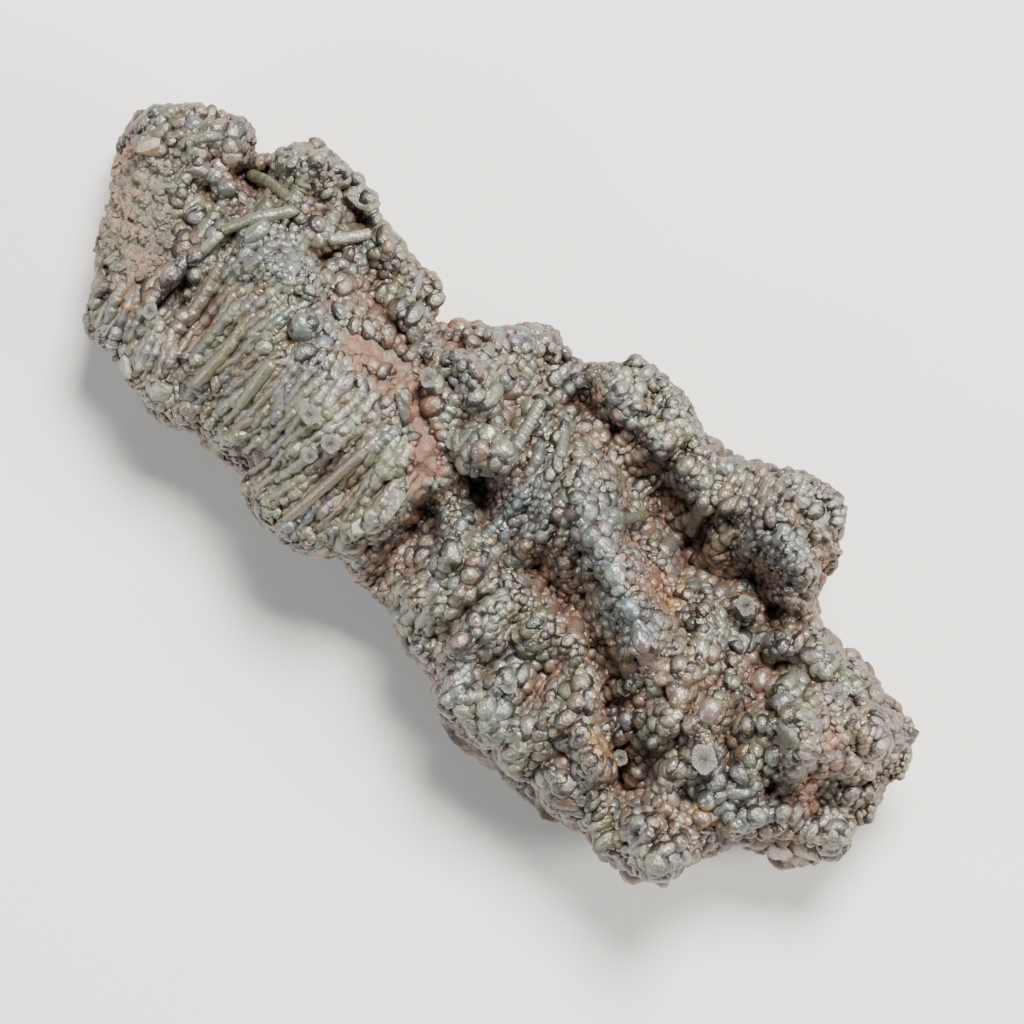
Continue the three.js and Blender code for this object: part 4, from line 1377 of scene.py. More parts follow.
@dataclass
class Rods(Cover):
    """Free rods that lie over or stand out of the crust, some of them ribbed."""

    SIDES = 12
    RINGS = 44

    def build(self) -> Piece:
        """Bends and joins the rods.

        Returns:
            The piece.
        """
        draw = np.random.default_rng(SEED + 60)
        tube = Tube(self.SIDES, self.RINGS)
        shelf = Shelf("rods")
        for rod in RODS:
            line, size = self._course(rod, draw)
            line[:, 2] = np.minimum(line[:, 2], self.limits[1][2] - 1.2 * rod.radius)
            corners, under = tube.warp(line, size, UP)
            # Painted shade: the underside of each rod is marked for darkening.
            shelf.add(corners, tube.faces, under * 0.7, draw.random())
        return shelf.piece(self.painter, self.limits)

    def _course(self, rod: Rod, draw: Draw) -> tuple[Array, Array]:
        """Centres and radii along one rod.

        Args:
            rod: its line and radius.
            draw: random generator.

        Returns:
            Centres in millimetres and radii.
        """
        knots = np.array([(x, y, self.crust.seat(x, y) + lift) for x, y, lift in rod.line])
        steps = np.linalg.norm(np.diff(knots, axis=0), axis=1)
        at = np.concatenate([[0], np.cumsum(steps)])
        length = float(at[-1])
        share, size = rounded(self.RINGS, length, rod.radius, 0.9)
        run = share * length
        line = np.column_stack([np.interp(run, at, knots[:, k]) for k in range(3)])
        kernel = np.ones(9) / 9
        for k in range(3):
            padded = np.pad(line[:, k], 4, mode="reflect", reflect_type="odd")
            line[:, k] = np.convolve(padded, kernel, mode="valid")
        rib = 1 + rod.depth * np.sin(run * 2 * math.pi / rod.ribs + draw.uniform(0, 6))
        size = size * rib * (1 + draw.normal(0, 0.02, len(size)))
        return line, size


@dataclass(frozen=True)
class Knob:
    """A larger smooth knob: middle, lift over the crust, radii and turn, in millimetres and degrees."""

    x: float
    y: float
    lift: float
    rx: float
    ry: float
    rz: float
    turn: float = 0.0
    smoothness: float = 1.0


KNOBS = (
    Knob(-39.6, 6.7, 0.0, 1.1, 1.0, 0.9, 0, 1.4),
    Knob(-41.2, 3.7, -0.1, 1.2, 1.0, 0.9, 30, 1.4),
    Knob(-37.9, 4.2, 0.0, 1.0, 1.0, 1.0, 0, 1.5),
    Knob(-32.5, 2.9, 0.2, 0.9, 1.5, 1.0, -15),
    Knob(-23.0, -0.9, 0.0, 1.3, 1.0, 1.0, -30),
    Knob(-0.9, 3.0, -0.1, 1.2, 1.0, 0.8, 30, 2.0),
    Knob(-2.8, 3.2, -0.1, 1.2, 0.9, 0.8, -20, 2.0),
    Knob(-2.4, 1.6, 0.0, 1.1, 1.0, 0.7, 0, 2.0),
    Knob(36.2, -8.8, 0.3, 1.0, 1.0, 1.0),
    Knob(36.9, -10.4, 0.2, 1.1, 1.0, 1.0),
    Knob(-28.0, 6.3, 0.1, 1.1, 1.1, 1.0),
    Knob(24.2, 7.6, 0.1, 1.2, 1.0, 1.1),
    Knob(19.2, 7.8, 0.1, 1.1, 1.0, 1.1),
    Knob(21.5, 3.0, 0.1, 0.9, 1.0, 0.9),
    Knob(16.3, -9.2, 0.1, 0.8, 0.9, 0.9),
    Knob(16.9, -11.6, 0.1, 0.9, 0.8, 0.9),
    Knob(27.4, -3.2, 0.1, 1.0, 1.3, 1.0, 15),
    Knob(30.4, -2.2, 0.1, 1.1, 1.5, 1.1, 5),
    Knob(32.6, 3.2, 0.1, 1.1, 1.4, 1.1, 10),
    Knob(-11.8, 9.0, 0.1, 1.3, 1.2, 1.2),
    Knob(37.8, -6.2, 0.1, 1.3, 1.0, 1.1, 30),
    Knob(3.0, -10.6, 0.1, 0.9, 1.3, 1.0),
    Knob(-33.5, 5.0, 0.0, 1.0, 1.2, 1.0, 20),
    Knob(-4.4, 7.8, 0.0, 1.5, 1.1, 1.2, 40),
    Knob(12.2, 2.6, 0.0, 1.4, 1.0, 1.1, -25),
    Knob(15.0, 1.4, 0.0, 1.5, 1.1, 1.1, -25),
    Knob(18.2, 0.0, 0.0, 1.4, 1.0, 1.0, -25),
    Knob(21.0, -1.6, 0.0, 1.3, 1.0, 1.0, -25),
)


@dataclass
class Knobs(Cover):
    """The larger knobs between the beads."""

    def build(self) -> Piece:
        """Shapes and joins the knobs.

        Returns:
            The piece.
        """
        draw = np.random.default_rng(SEED + 80)
        shape = bmesh.new()
        bmesh.ops.create_icosphere(shape, subdivisions=3, radius=1.0)
        ball, faces = template_arrays(shape)
        shelf = Shelf("knobs")
        for number, knob in enumerate(KNOBS):
            angle = math.radians(knob.turn)
            swell = 1 + 0.05 * knob.smoothness * Wobble(SEED + 81 + number, 1.2).at(ball * 1.4)
            sized = ball * swell[:, None] * np.array([knob.rx, knob.ry, knob.rz])
            x = sized[:, 0] * math.cos(angle) - sized[:, 1] * math.sin(angle)
            y = sized[:, 0] * math.sin(angle) + sized[:, 1] * math.cos(angle)
            ceiling = self.limits[1][2] - 0.1 - sized[:, 2].max()
            level = min(self.crust.seat(knob.x, knob.y) + knob.lift, ceiling)
            corners = np.column_stack([x + knob.x, y + knob.y, sized[:, 2] + level])
            # Painted shade: the lower side of each knob is marked for darkening.
            crease_shade = np.clip(0.35 - 0.7 * ball[:, 2], 0, 1)
            shelf.add(corners, faces, crease_shade, draw.random())
        return shelf.piece(self.painter, self.limits)


# Broken tips: x, y, radius, height over the crust, lean to +x and lean to +y
TIPS = (
    (-10.8, 3.4, 0.9, 0.9, 0.0, 0.0),
    (-5.0, 0.6, 1.0, 0.7, 0.1, -0.1),
    (-16.8, -6.7, 1.0, 0.8, 0.0, -0.1),
    (-13.5, -7.5, 0.9, 0.8, 0.1, 0.0),
    (-12.4, -6.8, 0.55, 0.6, 0.0, 0.1),
    (-14.2, -9.7, 0.7, 0.6, -0.1, -0.1),
    (33.0, -6.0, 1.35, 0.9, 0.1, 0.0),
    (23.0, -6.0, 0.85, 0.7, 0.0, 0.1),
    (26.4, 7.6, 0.95, 1.7, 0.0, 0.2),
    (-27.3, 12.3, 0.9, 0.8, 0.1, 0.2),
    (46.8, 9.2, 0.7, 0.5, 0.3, 0.2),
    (18.1, 9.2, 0.6, 1.5, 0.1, -0.4),
    (41.8, 4.6, 0.6, 0.6, 0.0, 0.0),
    (8.2, 17.4, 0.55, 0.5, 0.1, 0.2),
    (-35.2, -9.7, 0.75, 0.8, 0.0, -0.3),
    (-18.6, 9.4, 0.55, 0.6, 0.0, 0.1),
    (-45.2, 6.4, 0.55, 0.5, -0.2, 0.1),
    (37.4, 8.9, 0.75, 0.6, 0.1, 0.3),
    (39.3, 9.3, 0.7, 0.6, 0.1, 0.3),
    (41.4, 9.2, 0.6, 0.5, 0.1, 0.3),
    (14.6, -13.4, 0.8, 0.7, 0.0, -0.2),
    (27.4, -11.4, 0.75, 0.7, 0.1, -0.1),
)


@dataclass
class BrokenTips(Cover):
    """Rods broken off short, their pale ends with fine rays."""

    SIDES = 22

    def stub(self) -> tuple[Array, Array]:
        """One stub of radius 1 from height 0 down to -2, its end face dished in rings.

        Returns:
            Corners and triangles.
        """
        shape = bmesh.new()
        bmesh.ops.create_cone(
            shape, cap_ends=True, segments=self.SIDES, radius1=0.85, radius2=1.0, depth=2.0
        )
        bmesh.ops.translate(shape, verts=shape.verts[:], vec=(0, 0, -1.0))
        end = max(shape.faces, key=lambda face: face.calc_center_median().z)
        for thickness, depth in ((0.08, 0.05), (0.2, -0.05), (0.25, -0.04), (0.3, 0.03)):
            bmesh.ops.inset_region(shape, faces=[end], thickness=thickness, depth=depth)
        return template_arrays(shape)

    def build(self) -> Piece:
        """Places and joins the stubs.

        Returns:
            The piece.
        """
        draw = np.random.default_rng(SEED + 100)
        stub, faces = self.stub()
        shelf = Shelf("broken_tips")
        rays: list[Array] = []
        for x, y, radius, height, lean_x, lean_y in TIPS:
            turn = np.arctan2(stub[:, 1], stub[:, 0])
            uneven = 1 + 0.10 * np.sin(turn * 2 + draw.uniform(0, 6))
            uneven += 0.07 * np.sin(turn * 5 + draw.uniform(0, 6))
            shaped = stub * np.array([radius, radius, 1.0])
            shaped[:, :2] *= uneven[:, None]
            shaped[:, 2] += 0.07 * draw.normal(size=len(stub)) * (stub[:, 2] > -0.1)
            lean_x, lean_y = lean_x + draw.normal(0, 0.12), lean_y + draw.normal(0, 0.12)
            shaped[:, 2] += lean_x * shaped[:, 0] + lean_y * shaped[:, 1]
            level = min(self.crust.seat(x, y) + height - 0.15, self.limits[1][2] - 0.4)
            # Painted shade: the lower part of each stub is marked for darkening.
            crease_shade = np.clip(-stub[:, 2] * 0.6, 0, 1)
            shelf.add(shaped + np.array([x, y, level]), faces, crease_shade, draw.random())
            inner = (stub[:, 2] > -0.16).astype(float)
            rays.append(np.stack([stub[:, 0], stub[:, 1], inner], axis=1))
        made = shelf.piece(self.painter, self.limits)
        set_marks(made.data, "ray", np.concatenate(rays))
        return made


def cleave(
    shape: bmesh.types.BMesh, draw: Draw, cuts: int, slopes: tuple[float, float], depths: tuple[float, float]
) -> None:
    """Cuts a block by upright or leaning planes and closes each cut.

    Args:
        shape: the block, about 2 wide.
        draw: random generator.
        cuts: number of planes.
        slopes: range of the rise of a plane's outward direction.
        depths: range of a plane's distance from the middle.
    """
    for _ in range(cuts):
        angle = draw.uniform(0, 2 * math.pi)
        normal = Vector((math.cos(angle), math.sin(angle), draw.uniform(*slopes))).normalized()
        everything = shape.verts[:] + shape.edges[:] + shape.faces[:]
        start = normal * draw.uniform(*depths)
        bmesh.ops.bisect_plane(shape, geom=everything, plane_co=start, plane_no=normal, clear_outer=True)
        bmesh.ops.holes_fill(shape, edges=[e for e in shape.edges if e.is_boundary], sides=0)
    bmesh.ops.remove_doubles(shape, verts=shape.verts[:], dist=1e-4)


def bevel_all(shape: bmesh.types.BMesh, width: float, segments: int) -> None:
    """Rounds every edge of a shape.

    Args:
        shape: the shape, changed in place.
        width: how far the edge is cut back.
        segments: faces across a rounded edge.
    """
    bmesh.ops.bevel(
        shape, geom=shape.edges[:], offset=width, segments=segments, profile=0.5, affect="EDGES", material=-1
    )


# Pale flat chips: x, y, lift, length, width, thickness, turn and tilt in degrees
CHIPS = (
    (37.0, 3.0, -0.2, 1.2, 0.9, 0.5, 35, 16),
    (-27.3, 12.2, 0.2, 1.4, 1.0, 0.6, -10, 10),
    (-5.3, -8.4, 0.2, 0.9, 2.2, 0.5, 5, 14),
    (-6.0, -11.4, 0.1, 0.8, 1.6, 0.5, -8, -10),
    (46.4, -5.6, 0.0, 1.9, 1.5, 0.6, 15, 6),
    (44.8, -8.0, 0.0, 1.5, 1.0, 0.5, -10, -8),
    (-29.6, -15.0, 0.1, 1.3, 1.0, 0.6, 20, 12),
    (-33.4, -15.2, 0.1, 1.1, 0.8, 0.5, -15, -12),
    (35.8, -17.4, 0.1, 1.5, 1.0, 0.5, 20, 10),
    (-46.0, 2.0, 0.2, 1.2, 0.9, 0.7, 35, -14),
)


@dataclass
class Chips(Cover):
    """Small cleaved slabs with flat faces."""

    def slab(self, seed: int) -> tuple[Array, Array]:
        """A unit block cut by a few planes and bevelled.

        Args:
            seed: start of the random draw.

        Returns:
            Corners and triangles.
        """
        draw = np.random.default_rng(seed)
        shape = bmesh.new()
        bmesh.ops.create_cube(shape, size=2.0)
        cleave(shape, draw, 5, (-0.3, 0.5), (0.72, 0.95))
        bevel_all(shape, 0.09, 2)
        bmesh.ops.triangulate(shape, faces=shape.faces[:], quad_method="FIXED", ngon_method="EAR_CLIP")
        bmesh.ops.subdivide_edges(shape, edges=[e for e in shape.edges if e.calc_length() > 0.5], cuts=2)
        return template_arrays(shape)

    def build(self) -> Piece:
        """Places and joins the slabs.

        Returns:
            The piece.
        """
        shelf = Shelf("chips")
        for number, (x, y, lift, long, wide, thick, turn, tilt) in enumerate(CHIPS):
            block, faces = self.slab(SEED + 120 + number)
            rough = 1 + 0.05 * Wobble(SEED + 140 + number, 0.8).at(block)
            sized = block * rough[:, None] * np.array([long, wide, thick])
            spin = Matrix.Rotation(math.radians(turn), 3, "Z")
            turned = np.array(spin @ Matrix.Rotation(math.radians(tilt), 3, "X"))
            level = self.crust.seat(x, y) + lift
            corners = sized @ turned.T + np.array([x, y, level])
            # Painted shade: the lower side of each slab is marked for darkening.
            crease_shade = np.clip(-block[:, 2] * 0.6, 0, 1)
            shelf.add(corners, faces, crease_shade, 0.4)
        return shelf.piece(self.painter, self.limits)


@dataclass
class Flakes(Cover):
    """Thin angular grains that lie over the bare face like scales."""

    COUNT = 420
    KINDS = 8
    LENGTH = (0.22, 0.68)
    WIDTH = (0.5, 0.9)
    THICKNESS = (0.09, 0.22)
    LEAN = 0.16

    def grain(self, seed: int) -> tuple[Array, Array]:
        """A flat lump cut by a few upright planes.

        Args:
            seed: start of the random draw.

        Returns:
            Corners and triangles.
        """
        draw = np.random.default_rng(seed)
        shape = bmesh.new()
        bmesh.ops.create_cube(shape, size=2.0)
        cleave(shape, draw, 6, (-0.1, 0.6), (0.6, 0.95))
        bevel_all(shape, 0.12, 1)
        return template_arrays(shape)

    def build(self) -> Piece:
        """Scatters and joins the grains.

        Returns:
            The piece.
        """
        draw = np.random.default_rng(SEED + 200)
        kinds = [self.grain(SEED + 210 + number) for number in range(self.KINDS)]
        shelf = Shelf("flakes")
        reach = 1.1 * max(FACE.rx, FACE.ry)
        while len(shelf.corners) < self.COUNT:
            x = FACE.x + draw.uniform(-reach, reach)
            y = FACE.y + draw.uniform(-reach, reach)
            seat, facing, _, _ = self.crust.tree.ray_cast(Vector((x, y, SKY)), Vector((0, 0, -1)))
            if seat is None or facing.z < 0.35 or FACE.share(np.array([[x, y]]))[0] < 0.5:
                continue
            block, faces = kinds[draw.integers(len(kinds))]
            long = draw.uniform(*self.LENGTH) * draw.uniform(0.7, 1.1)
            sized = block * np.array([long, long * draw.uniform(*self.WIDTH), draw.uniform(*self.THICKNESS)])
            lean = facing.normalized() + Vector(draw.normal(0, self.LEAN, 3))
            turn = lean.to_track_quat("Z", "Y").to_matrix() @ Matrix.Rotation(draw.uniform(0, 6.28), 3, "Z")
            corners = sized @ np.array(turn).T + np.array(seat)
            # Painted shade: the lower side of each grain is marked for darkening.
            shelf.add(corners, faces, np.clip(0.4 - block[:, 2], 0, 1), draw.random())
        return shelf.piece(self.painter, self.limits)


class Nodes:
    """Short way to fill a node tree."""

    def __init__(self, tree: Tree) -> None:
        """Keeps the tree."""
        self.tree = tree

    def add(self, kind: str, **settings: object) -> bpy.types.Node:
        """Adds a node and sets its properties.

        Args:
            kind: the node's type.
            settings: its properties by name.

        Returns:
            The new node.
        """
        node = self.tree.nodes.new(kind)
        for name, value in settings.items():
            setattr(node, name, value)
        return node

    def join(self, source: Socket, target: Socket) -> None:
        """Links an output to an input."""
        self.tree.links.new(source, target)

    def feed(self, target: Socket, value: object) -> None:
        """Links or sets an input, whichever the value is.

        Args:
            target: the input.
            value: an output, a number or a vector.
        """
        if isinstance(value, Socket):
            self.join(value, target)
        else:
            target.default_value = value

    def math(self, operation: str, *values: object, clamp: bool = False) -> Socket:
        """Adds a math node and gives its output.

        Args:
            operation: what is done.
            values: outputs or numbers.
            clamp: whether the result is kept from 0 to 1.

        Returns:
            The result.
        """
        node = self.add("ShaderNodeMath", operation=operation, use_clamp=clamp)
        for socket, value in zip(node.inputs, values):
            self.feed(socket, value)
        return node.outputs[0]

    def times(self, first: object, second: object, clamp: bool = False) -> Socket:
        """Product of two values."""
        return self.math("MULTIPLY", first, second, clamp=clamp)

    def plus(self, first: object, second: object, clamp: bool = False) -> Socket:
        """Sum of two values."""
        return self.math("ADD", first, second, clamp=clamp)

    def mix(self, factor: object, first: object, second: object) -> Socket:
        """Adds a colour mix and gives its output.

        Args:
            factor: share of the second colour.
            first: an output or a colour.
            second: an output or a colour.

        Returns:
            The mixed colour.
        """
        node = self.add("ShaderNodeMix", data_type="RGBA", clamp_factor=True)
        self.feed(node.inputs[0], factor)
        self.feed(node.inputs[6], (*first, 1.0) if isinstance(first, tuple) else first)
        self.feed(node.inputs[7], (*second, 1.0) if isinstance(second, tuple) else second)
        return node.outputs[2]

    def lay(self, base: object, mask: object, share: object, colour: Colour) -> Socket:
        """Lays a colour over another one where the mask says."""
        return self.mix(self.times(mask, share), base, colour)

    def noise(self, vector: object, scale: float, detail: float = 4.0, rough: float = 0.55) -> Socket:
        """Adds a noise texture and gives its value.

        Args:
            vector: position output.
            scale: how fine it is.
            detail: how many layers it has.
            rough: weight of the finer layers.

        Returns:
            The noise value.
        """
        node = self.add("ShaderNodeTexNoise")
        self.feed(node.inputs["Vector"], vector)
        node.inputs["Scale"].default_value = scale
        node.inputs["Detail"].default_value = detail
        node.inputs["Roughness"].default_value = rough
        return node.outputs["Fac"]

    def step(self, value: object, low: float, high: float) -> Socket:
        """Adds an eased step from 0 at low to 1 at high.

        Args:
            value: output to ease.
            low: where it starts.
            high: where it ends.

        Returns:
            The eased value.
        """
        node = self.add("ShaderNodeMapRange", interpolation_type="SMOOTHSTEP")
        self.feed(node.inputs["Value"], value)
        node.inputs["From Min"].default_value = low
        node.inputs["From Max"].default_value = high
        return node.outputs["Result"]


def linear(red: int, green: int, blue: int) -> Colour:
    """Turns screen values from 0 to 255 into linear light."""
    return tuple(((v / 255 + 0.055) / 1.055) ** 2.4 for v in (red, green, blue))


@dataclass(frozen=True)
class Palette:
    """Colours of the specimen, in linear light."""

    ground: Colour = linear(92, 92, 77)
    # Dark colour used both for the ring bands and for the painted shade in the creases.
    band_and_crease_shade: Colour = linear(30, 25, 24)
    brown: Colour = linear(104, 73, 56)
    iron: Colour = linear(112, 66, 38)
    blue: Colour = linear(84, 97, 103)
    pink: Colour = linear(130, 92, 76)
    pale: Colour = linear(156, 153, 138)
    violet: Colour = linear(92, 82, 96)
    ochre: Colour = linear(186, 138, 60)
    matrix: Colour = linear(70, 63, 52)
    matrix_pale: Colour = linear(116, 107, 92)
    rose: Colour = linear(154, 100, 82)
    olive: Colour = linear(102, 102, 70)


class GroupMaker:
    """Builds the node groups that several finishes use."""

    @staticmethod
    def start(name: str, inputs: dict[str, str], outputs: dict[str, str]) -> tuple[Tree, Nodes]:
        """Starts a group with named inputs and outputs.

        Args:
            name: name of the group.
            inputs: socket type of each input.
            outputs: socket type of each output.

        Returns:
            The group and the helper that fills it.
        """
        group = bpy.data.node_groups.new(name, "ShaderNodeTree")
        for label, kind in inputs.items():
            group.interface.new_socket(name=label, in_out="INPUT", socket_type=kind)
        for label, kind in outputs.items():
            group.interface.new_socket(name=label, in_out="OUTPUT", socket_type=kind)
        return group, Nodes(group)

    @classmethod
    def crust_colour(cls, palette: Palette) -> Tree:
        """Colour of the grown crust from its marks, with painted shade in the creases and on the lower
        flanks.

        Args:
            palette: the colours.

        Returns:
            The group, with the colour and a dullness mask as outputs.
        """
        number, point, colour = "NodeSocketFloat", "NodeSocketVector", "NodeSocketColor"
        group, n = cls.start(
            "crust_colour",
            {"Vector": point, "Patch A": point, "Patch B": point, "Crease Shade And Tint": point, "Warmth": number},
            {"Colour": colour, "Dull": number},
        )
        gate = n.add("NodeGroupInput").outputs
        out = n.add("NodeGroupOutput").inputs
        first, second, crease_shade_and_tint = (n.add("ShaderNodeSeparateXYZ") for _ in range(3))
        for node, name in ((first, "Patch A"), (second, "Patch B"), (crease_shade_and_tint, "Crease Shade And Tint")):
            n.join(gate[name], node.inputs[0])
        wide = n.noise(gate["Vector"], 180, 2)
        fine = n.noise(gate["Vector"], 1400, 3, 0.65)
        dust = n.noise(gate["Vector"], 4200, 2, 0.6)
        olive = n.times(n.step(wide, 0.42, 0.68), 0.5)
        base = n.mix(olive, palette.ground, palette.olive)
        tint = n.step(crease_shade_and_tint.outputs["Y"], 0.55, 1.0)
        base = n.lay(base, tint, 0.30, palette.pale)
        brown_bead = n.step(n.plus(n.times(crease_shade_and_tint.outputs["Y"], -1.0), 0.32), 0.0, 0.32)
        base = n.lay(base, brown_bead, 0.55, palette.brown)
        offset = n.math("ABSOLUTE", n.math("SUBTRACT", crease_shade_and_tint.outputs["Y"], 0.6))
        base = n.lay(base, n.step(offset, 0.12, 0.04), 0.5, palette.blue)
        lilac = n.times(n.step(n.noise(gate["Vector"], 520, 2), 0.5, 0.7), 0.65)
        base = n.mix(lilac, base, palette.violet)
        base = n.lay(base, first.outputs["Y"], 0.6, palette.blue)
        patchy = n.step(fine, 0.35, 0.62)
        hollow = n.times(crease_shade_and_tint.outputs["Z"], n.plus(0.35, n.times(patchy, 0.5)))
        base = n.lay(base, hollow, gate["Warmth"], palette.brown)
        pink = n.times(first.outputs["Z"], n.plus(0.3, n.times(patchy, 0.5)))
        base = n.lay(base, pink, gate["Warmth"], palette.pink)
        stone = n.mix(n.step(dust, 0.35, 0.7), palette.matrix, palette.matrix_pale)
        stone = n.mix(n.times(n.step(fine, 0.46, 0.62), 0.6), stone, palette.olive)
        stone = n.mix(n.times(first.outputs["Z"], n.step(fine, 0.6, 0.4)), stone, palette.rose)
        base = n.mix(second.outputs["Z"], base, stone)
        pale = n.times(second.outputs["X"], n.step(fine, 0.3, 0.65))
        base = n.lay(base, pale, 0.7, palette.pale)
        rust = n.times(first.outputs["X"], n.step(fine, 0.1, 0.5), clamp=True)
        base = n.lay(base, rust, 0.85, palette.iron)
        gold = n.times(second.outputs["Y"], n.step(fine, 0.42, 0.6), clamp=True)
        base = n.lay(base, gold, 0.8, palette.ochre)
        # Painted shade: the lower flanks of beads and undersides of rods and knobs turned browner, more so on
        # low-tint beads.
        shaded_flank = n.times(n.step(crease_shade_and_tint.outputs["X"], 0.08, 0.6), n.step(crease_shade_and_tint.outputs["Y"], 1.0, 0.0))
        base = n.lay(base, shaded_flank, 0.6, palette.brown)
        ring = n.math("SINE", n.plus(n.times(crease_shade_and_tint.outputs["X"], 9.0), n.times(fine, 9.0)))
        base = n.lay(base, n.step(ring, 0.3, 1.0), 0.14, palette.band_and_crease_shade)
        # Painted shade: dark colour laid where the crease share is high, in the creases and on the lower
        # sides of beads, rods and knobs.
        crease_shade = n.times(n.step(crease_shade_and_tint.outputs["X"], 0.35, 1.0), 0.9)
        base = n.mix(crease_shade, base, palette.band_and_crease_shade)
        speck = n.times(n.step(dust, 0.55, 0.8), 0.22)
        base = n.mix(speck, base, palette.pale)
        n.join(base, out["Colour"])
        dull = n.math("MAXIMUM", n.math("MAXIMUM", rust, second.outputs["Z"]), hollow, clamp=True)
        n.join(dull, out["Dull"])
        return group

    @classmethod
    def grain_normal(cls) -> Tree:
        """Normal with a fine beaded surface and grit.

        Returns:
            The group, with the bent normal and its height as outputs.
        """
        number, point = "NodeSocketFloat", "NodeSocketVector"
        group, n = cls.start(
            "grain_normal",
            {
                "Vector": point,
                "Crease Shade And Tint": point,
                "Bead Scale": number,
                "Beads": number,
                "Grit": number,
                "Rings": number,
            },
            {"Normal": point, "Height": number},
        )
        gate = n.add("NodeGroupInput").outputs
        out = n.add("NodeGroupOutput").inputs
        cells = n.add("ShaderNodeTexVoronoi", feature="F1")
        n.join(gate["Vector"], cells.inputs["Vector"])
        n.join(gate["Bead Scale"], cells.inputs["Scale"])
        dome = n.math("SUBTRACT", 1.0, n.math("POWER", cells.outputs["Distance"], 2.0))
        grit = n.noise(gate["Vector"], 2600, 3, 0.7)
        height = n.plus(n.times(dome, gate["Beads"]), n.times(grit, gate["Grit"]))
        crease_shade_and_tint = n.add("ShaderNodeSeparateXYZ")
        n.join(gate["Crease Shade And Tint"], crease_shade_and_tint.inputs[0])
        ring = n.math("SINE", n.plus(n.times(crease_shade_and_tint.outputs["X"], 9.0), n.times(grit, 5.0)))
        height = n.plus(height, n.times(ring, gate["Rings"]))
        bump = n.add("ShaderNodeBump")
        bump.inputs["Strength"].default_value = 1.0
        bump.inputs["Distance"].default_value = 0.00022
        n.join(height, bump.inputs["Height"])
        n.join(bump.outputs["Normal"], out["Normal"])
        n.join(height, out["Height"])
        return group

    @classmethod
    def satin(cls) -> Tree:
        """Roughness that changes from bead to bead and over each of them.

        Returns:
            The group, with the roughness as output.
        """
        number, point = "NodeSocketFloat", "NodeSocketVector"
        group, n = cls.start(
            "satin", {"Vector": point, "Dull": number, "Low": number, "High": number}, {"Roughness": number}
        )
        gate = n.add("NodeGroupInput").outputs
        out = n.add("NodeGroupOutput").inputs
        patch = n.step(n.noise(gate["Vector"], 900, 2), 0.3, 0.7)
        spread = n.math("SUBTRACT", gate["High"], gate["Low"])
        value = n.plus(gate["Low"], n.times(spread, patch))
        n.join(n.plus(value, n.times(gate["Dull"], 0.22), clamp=True), out["Roughness"])
        return group


def start_finish(name: str) -> tuple[Material, Nodes]:
    """An empty material and the helper that fills it.

    Args:
        name: the material's name.

    Returns:
        The material and its helper.
    """
    made = bpy.data.materials.new(name)
    made.use_nodes = True
    made.node_tree.nodes.clear()
    return made, Nodes(made.node_tree)


@dataclass(frozen=True)
class StoneFinish:
    """Finish of a grown piece: satin, slightly metallic, tinted by its marks."""

    name: str
    low: float = 0.36
    high: float = 0.62
    metallic: float = 0.10
    bead_scale: float = 1500.0
    beads: float = 0.5
    grit: float = 0.5
    warmth: float = 1.0
    coat: float = 0.2
    veil: Colour | None = None
    veil_share: float = 0.0
    rings: float = 0.0

    def material(self, groups: dict[str, Tree]) -> Material:
        """Makes the material.

        Args:
            groups: the shared node groups by name.

        Returns:
            The material.
        """
        made, n = start_finish(self.name)
        place = n.add("ShaderNodeTexCoord").outputs["Object"]
        colour = n.add("ShaderNodeGroup", node_tree=groups["colour"])
        n.join(place, colour.inputs["Vector"])
        for label, mark in (("Patch A", "patch_a"), ("Patch B", "patch_b"), ("Crease Shade And Tint", "crease_shade_and_tint")):
            reader = n.add("ShaderNodeAttribute", attribute_name=mark)
            n.join(reader.outputs["Vector"], colour.inputs[label])
        colour.inputs["Warmth"].default_value = self.warmth
        normal = n.add("ShaderNodeGroup", node_tree=groups["normal"])
        n.join(place, normal.inputs["Vector"])
        n.join(reader.outputs["Vector"], normal.inputs["Crease Shade And Tint"])
        normal.inputs["Bead Scale"].default_value = self.bead_scale
        normal.inputs["Beads"].default_value = self.beads
        normal.inputs["Grit"].default_value = self.grit
        normal.inputs["Rings"].default_value = self.rings
        satin = n.add("ShaderNodeGroup", node_tree=groups["satin"])
        n.join(place, satin.inputs["Vector"])
        n.join(colour.outputs["Dull"], satin.inputs["Dull"])
        satin.inputs["Low"].default_value = self.low
        satin.inputs["High"].default_value = self.high
        shader = n.add("ShaderNodeBsdfPrincipled")
        shader.inputs["Metallic"].default_value = self.metallic
        shader.inputs["IOR"].default_value = 2.0
        shader.inputs["Coat Weight"].default_value = self.coat
        shader.inputs["Coat Roughness"].default_value = 0.25
        tone = self._toned(n, colour.outputs["Colour"], place)
        n.join(tone, shader.inputs["Base Color"])
        n.join(satin.outputs["Roughness"], shader.inputs["Roughness"])
        n.join(normal.outputs["Normal"], shader.inputs["Normal"])
        n.join(shader.outputs[0], n.add("ShaderNodeOutputMaterial").inputs[0])
        return made

    def _toned(self, n: Nodes, colour: Socket, place: Socket) -> Socket:
        """Lays the finish's own veil of colour over the shared one.

        Args:
            n: helper of the material.
            colour: the shared colour.
            place: position output.

        Returns:
            The colour under the veil.
        """
        if self.veil is None:
            return colour
        cloud = n.step(n.noise(place, 700, 3), 0.3, 0.7)
        share = n.times(n.plus(0.6, n.times(cloud, 0.4)), self.veil_share)
        return n.mix(share, colour, self.veil)


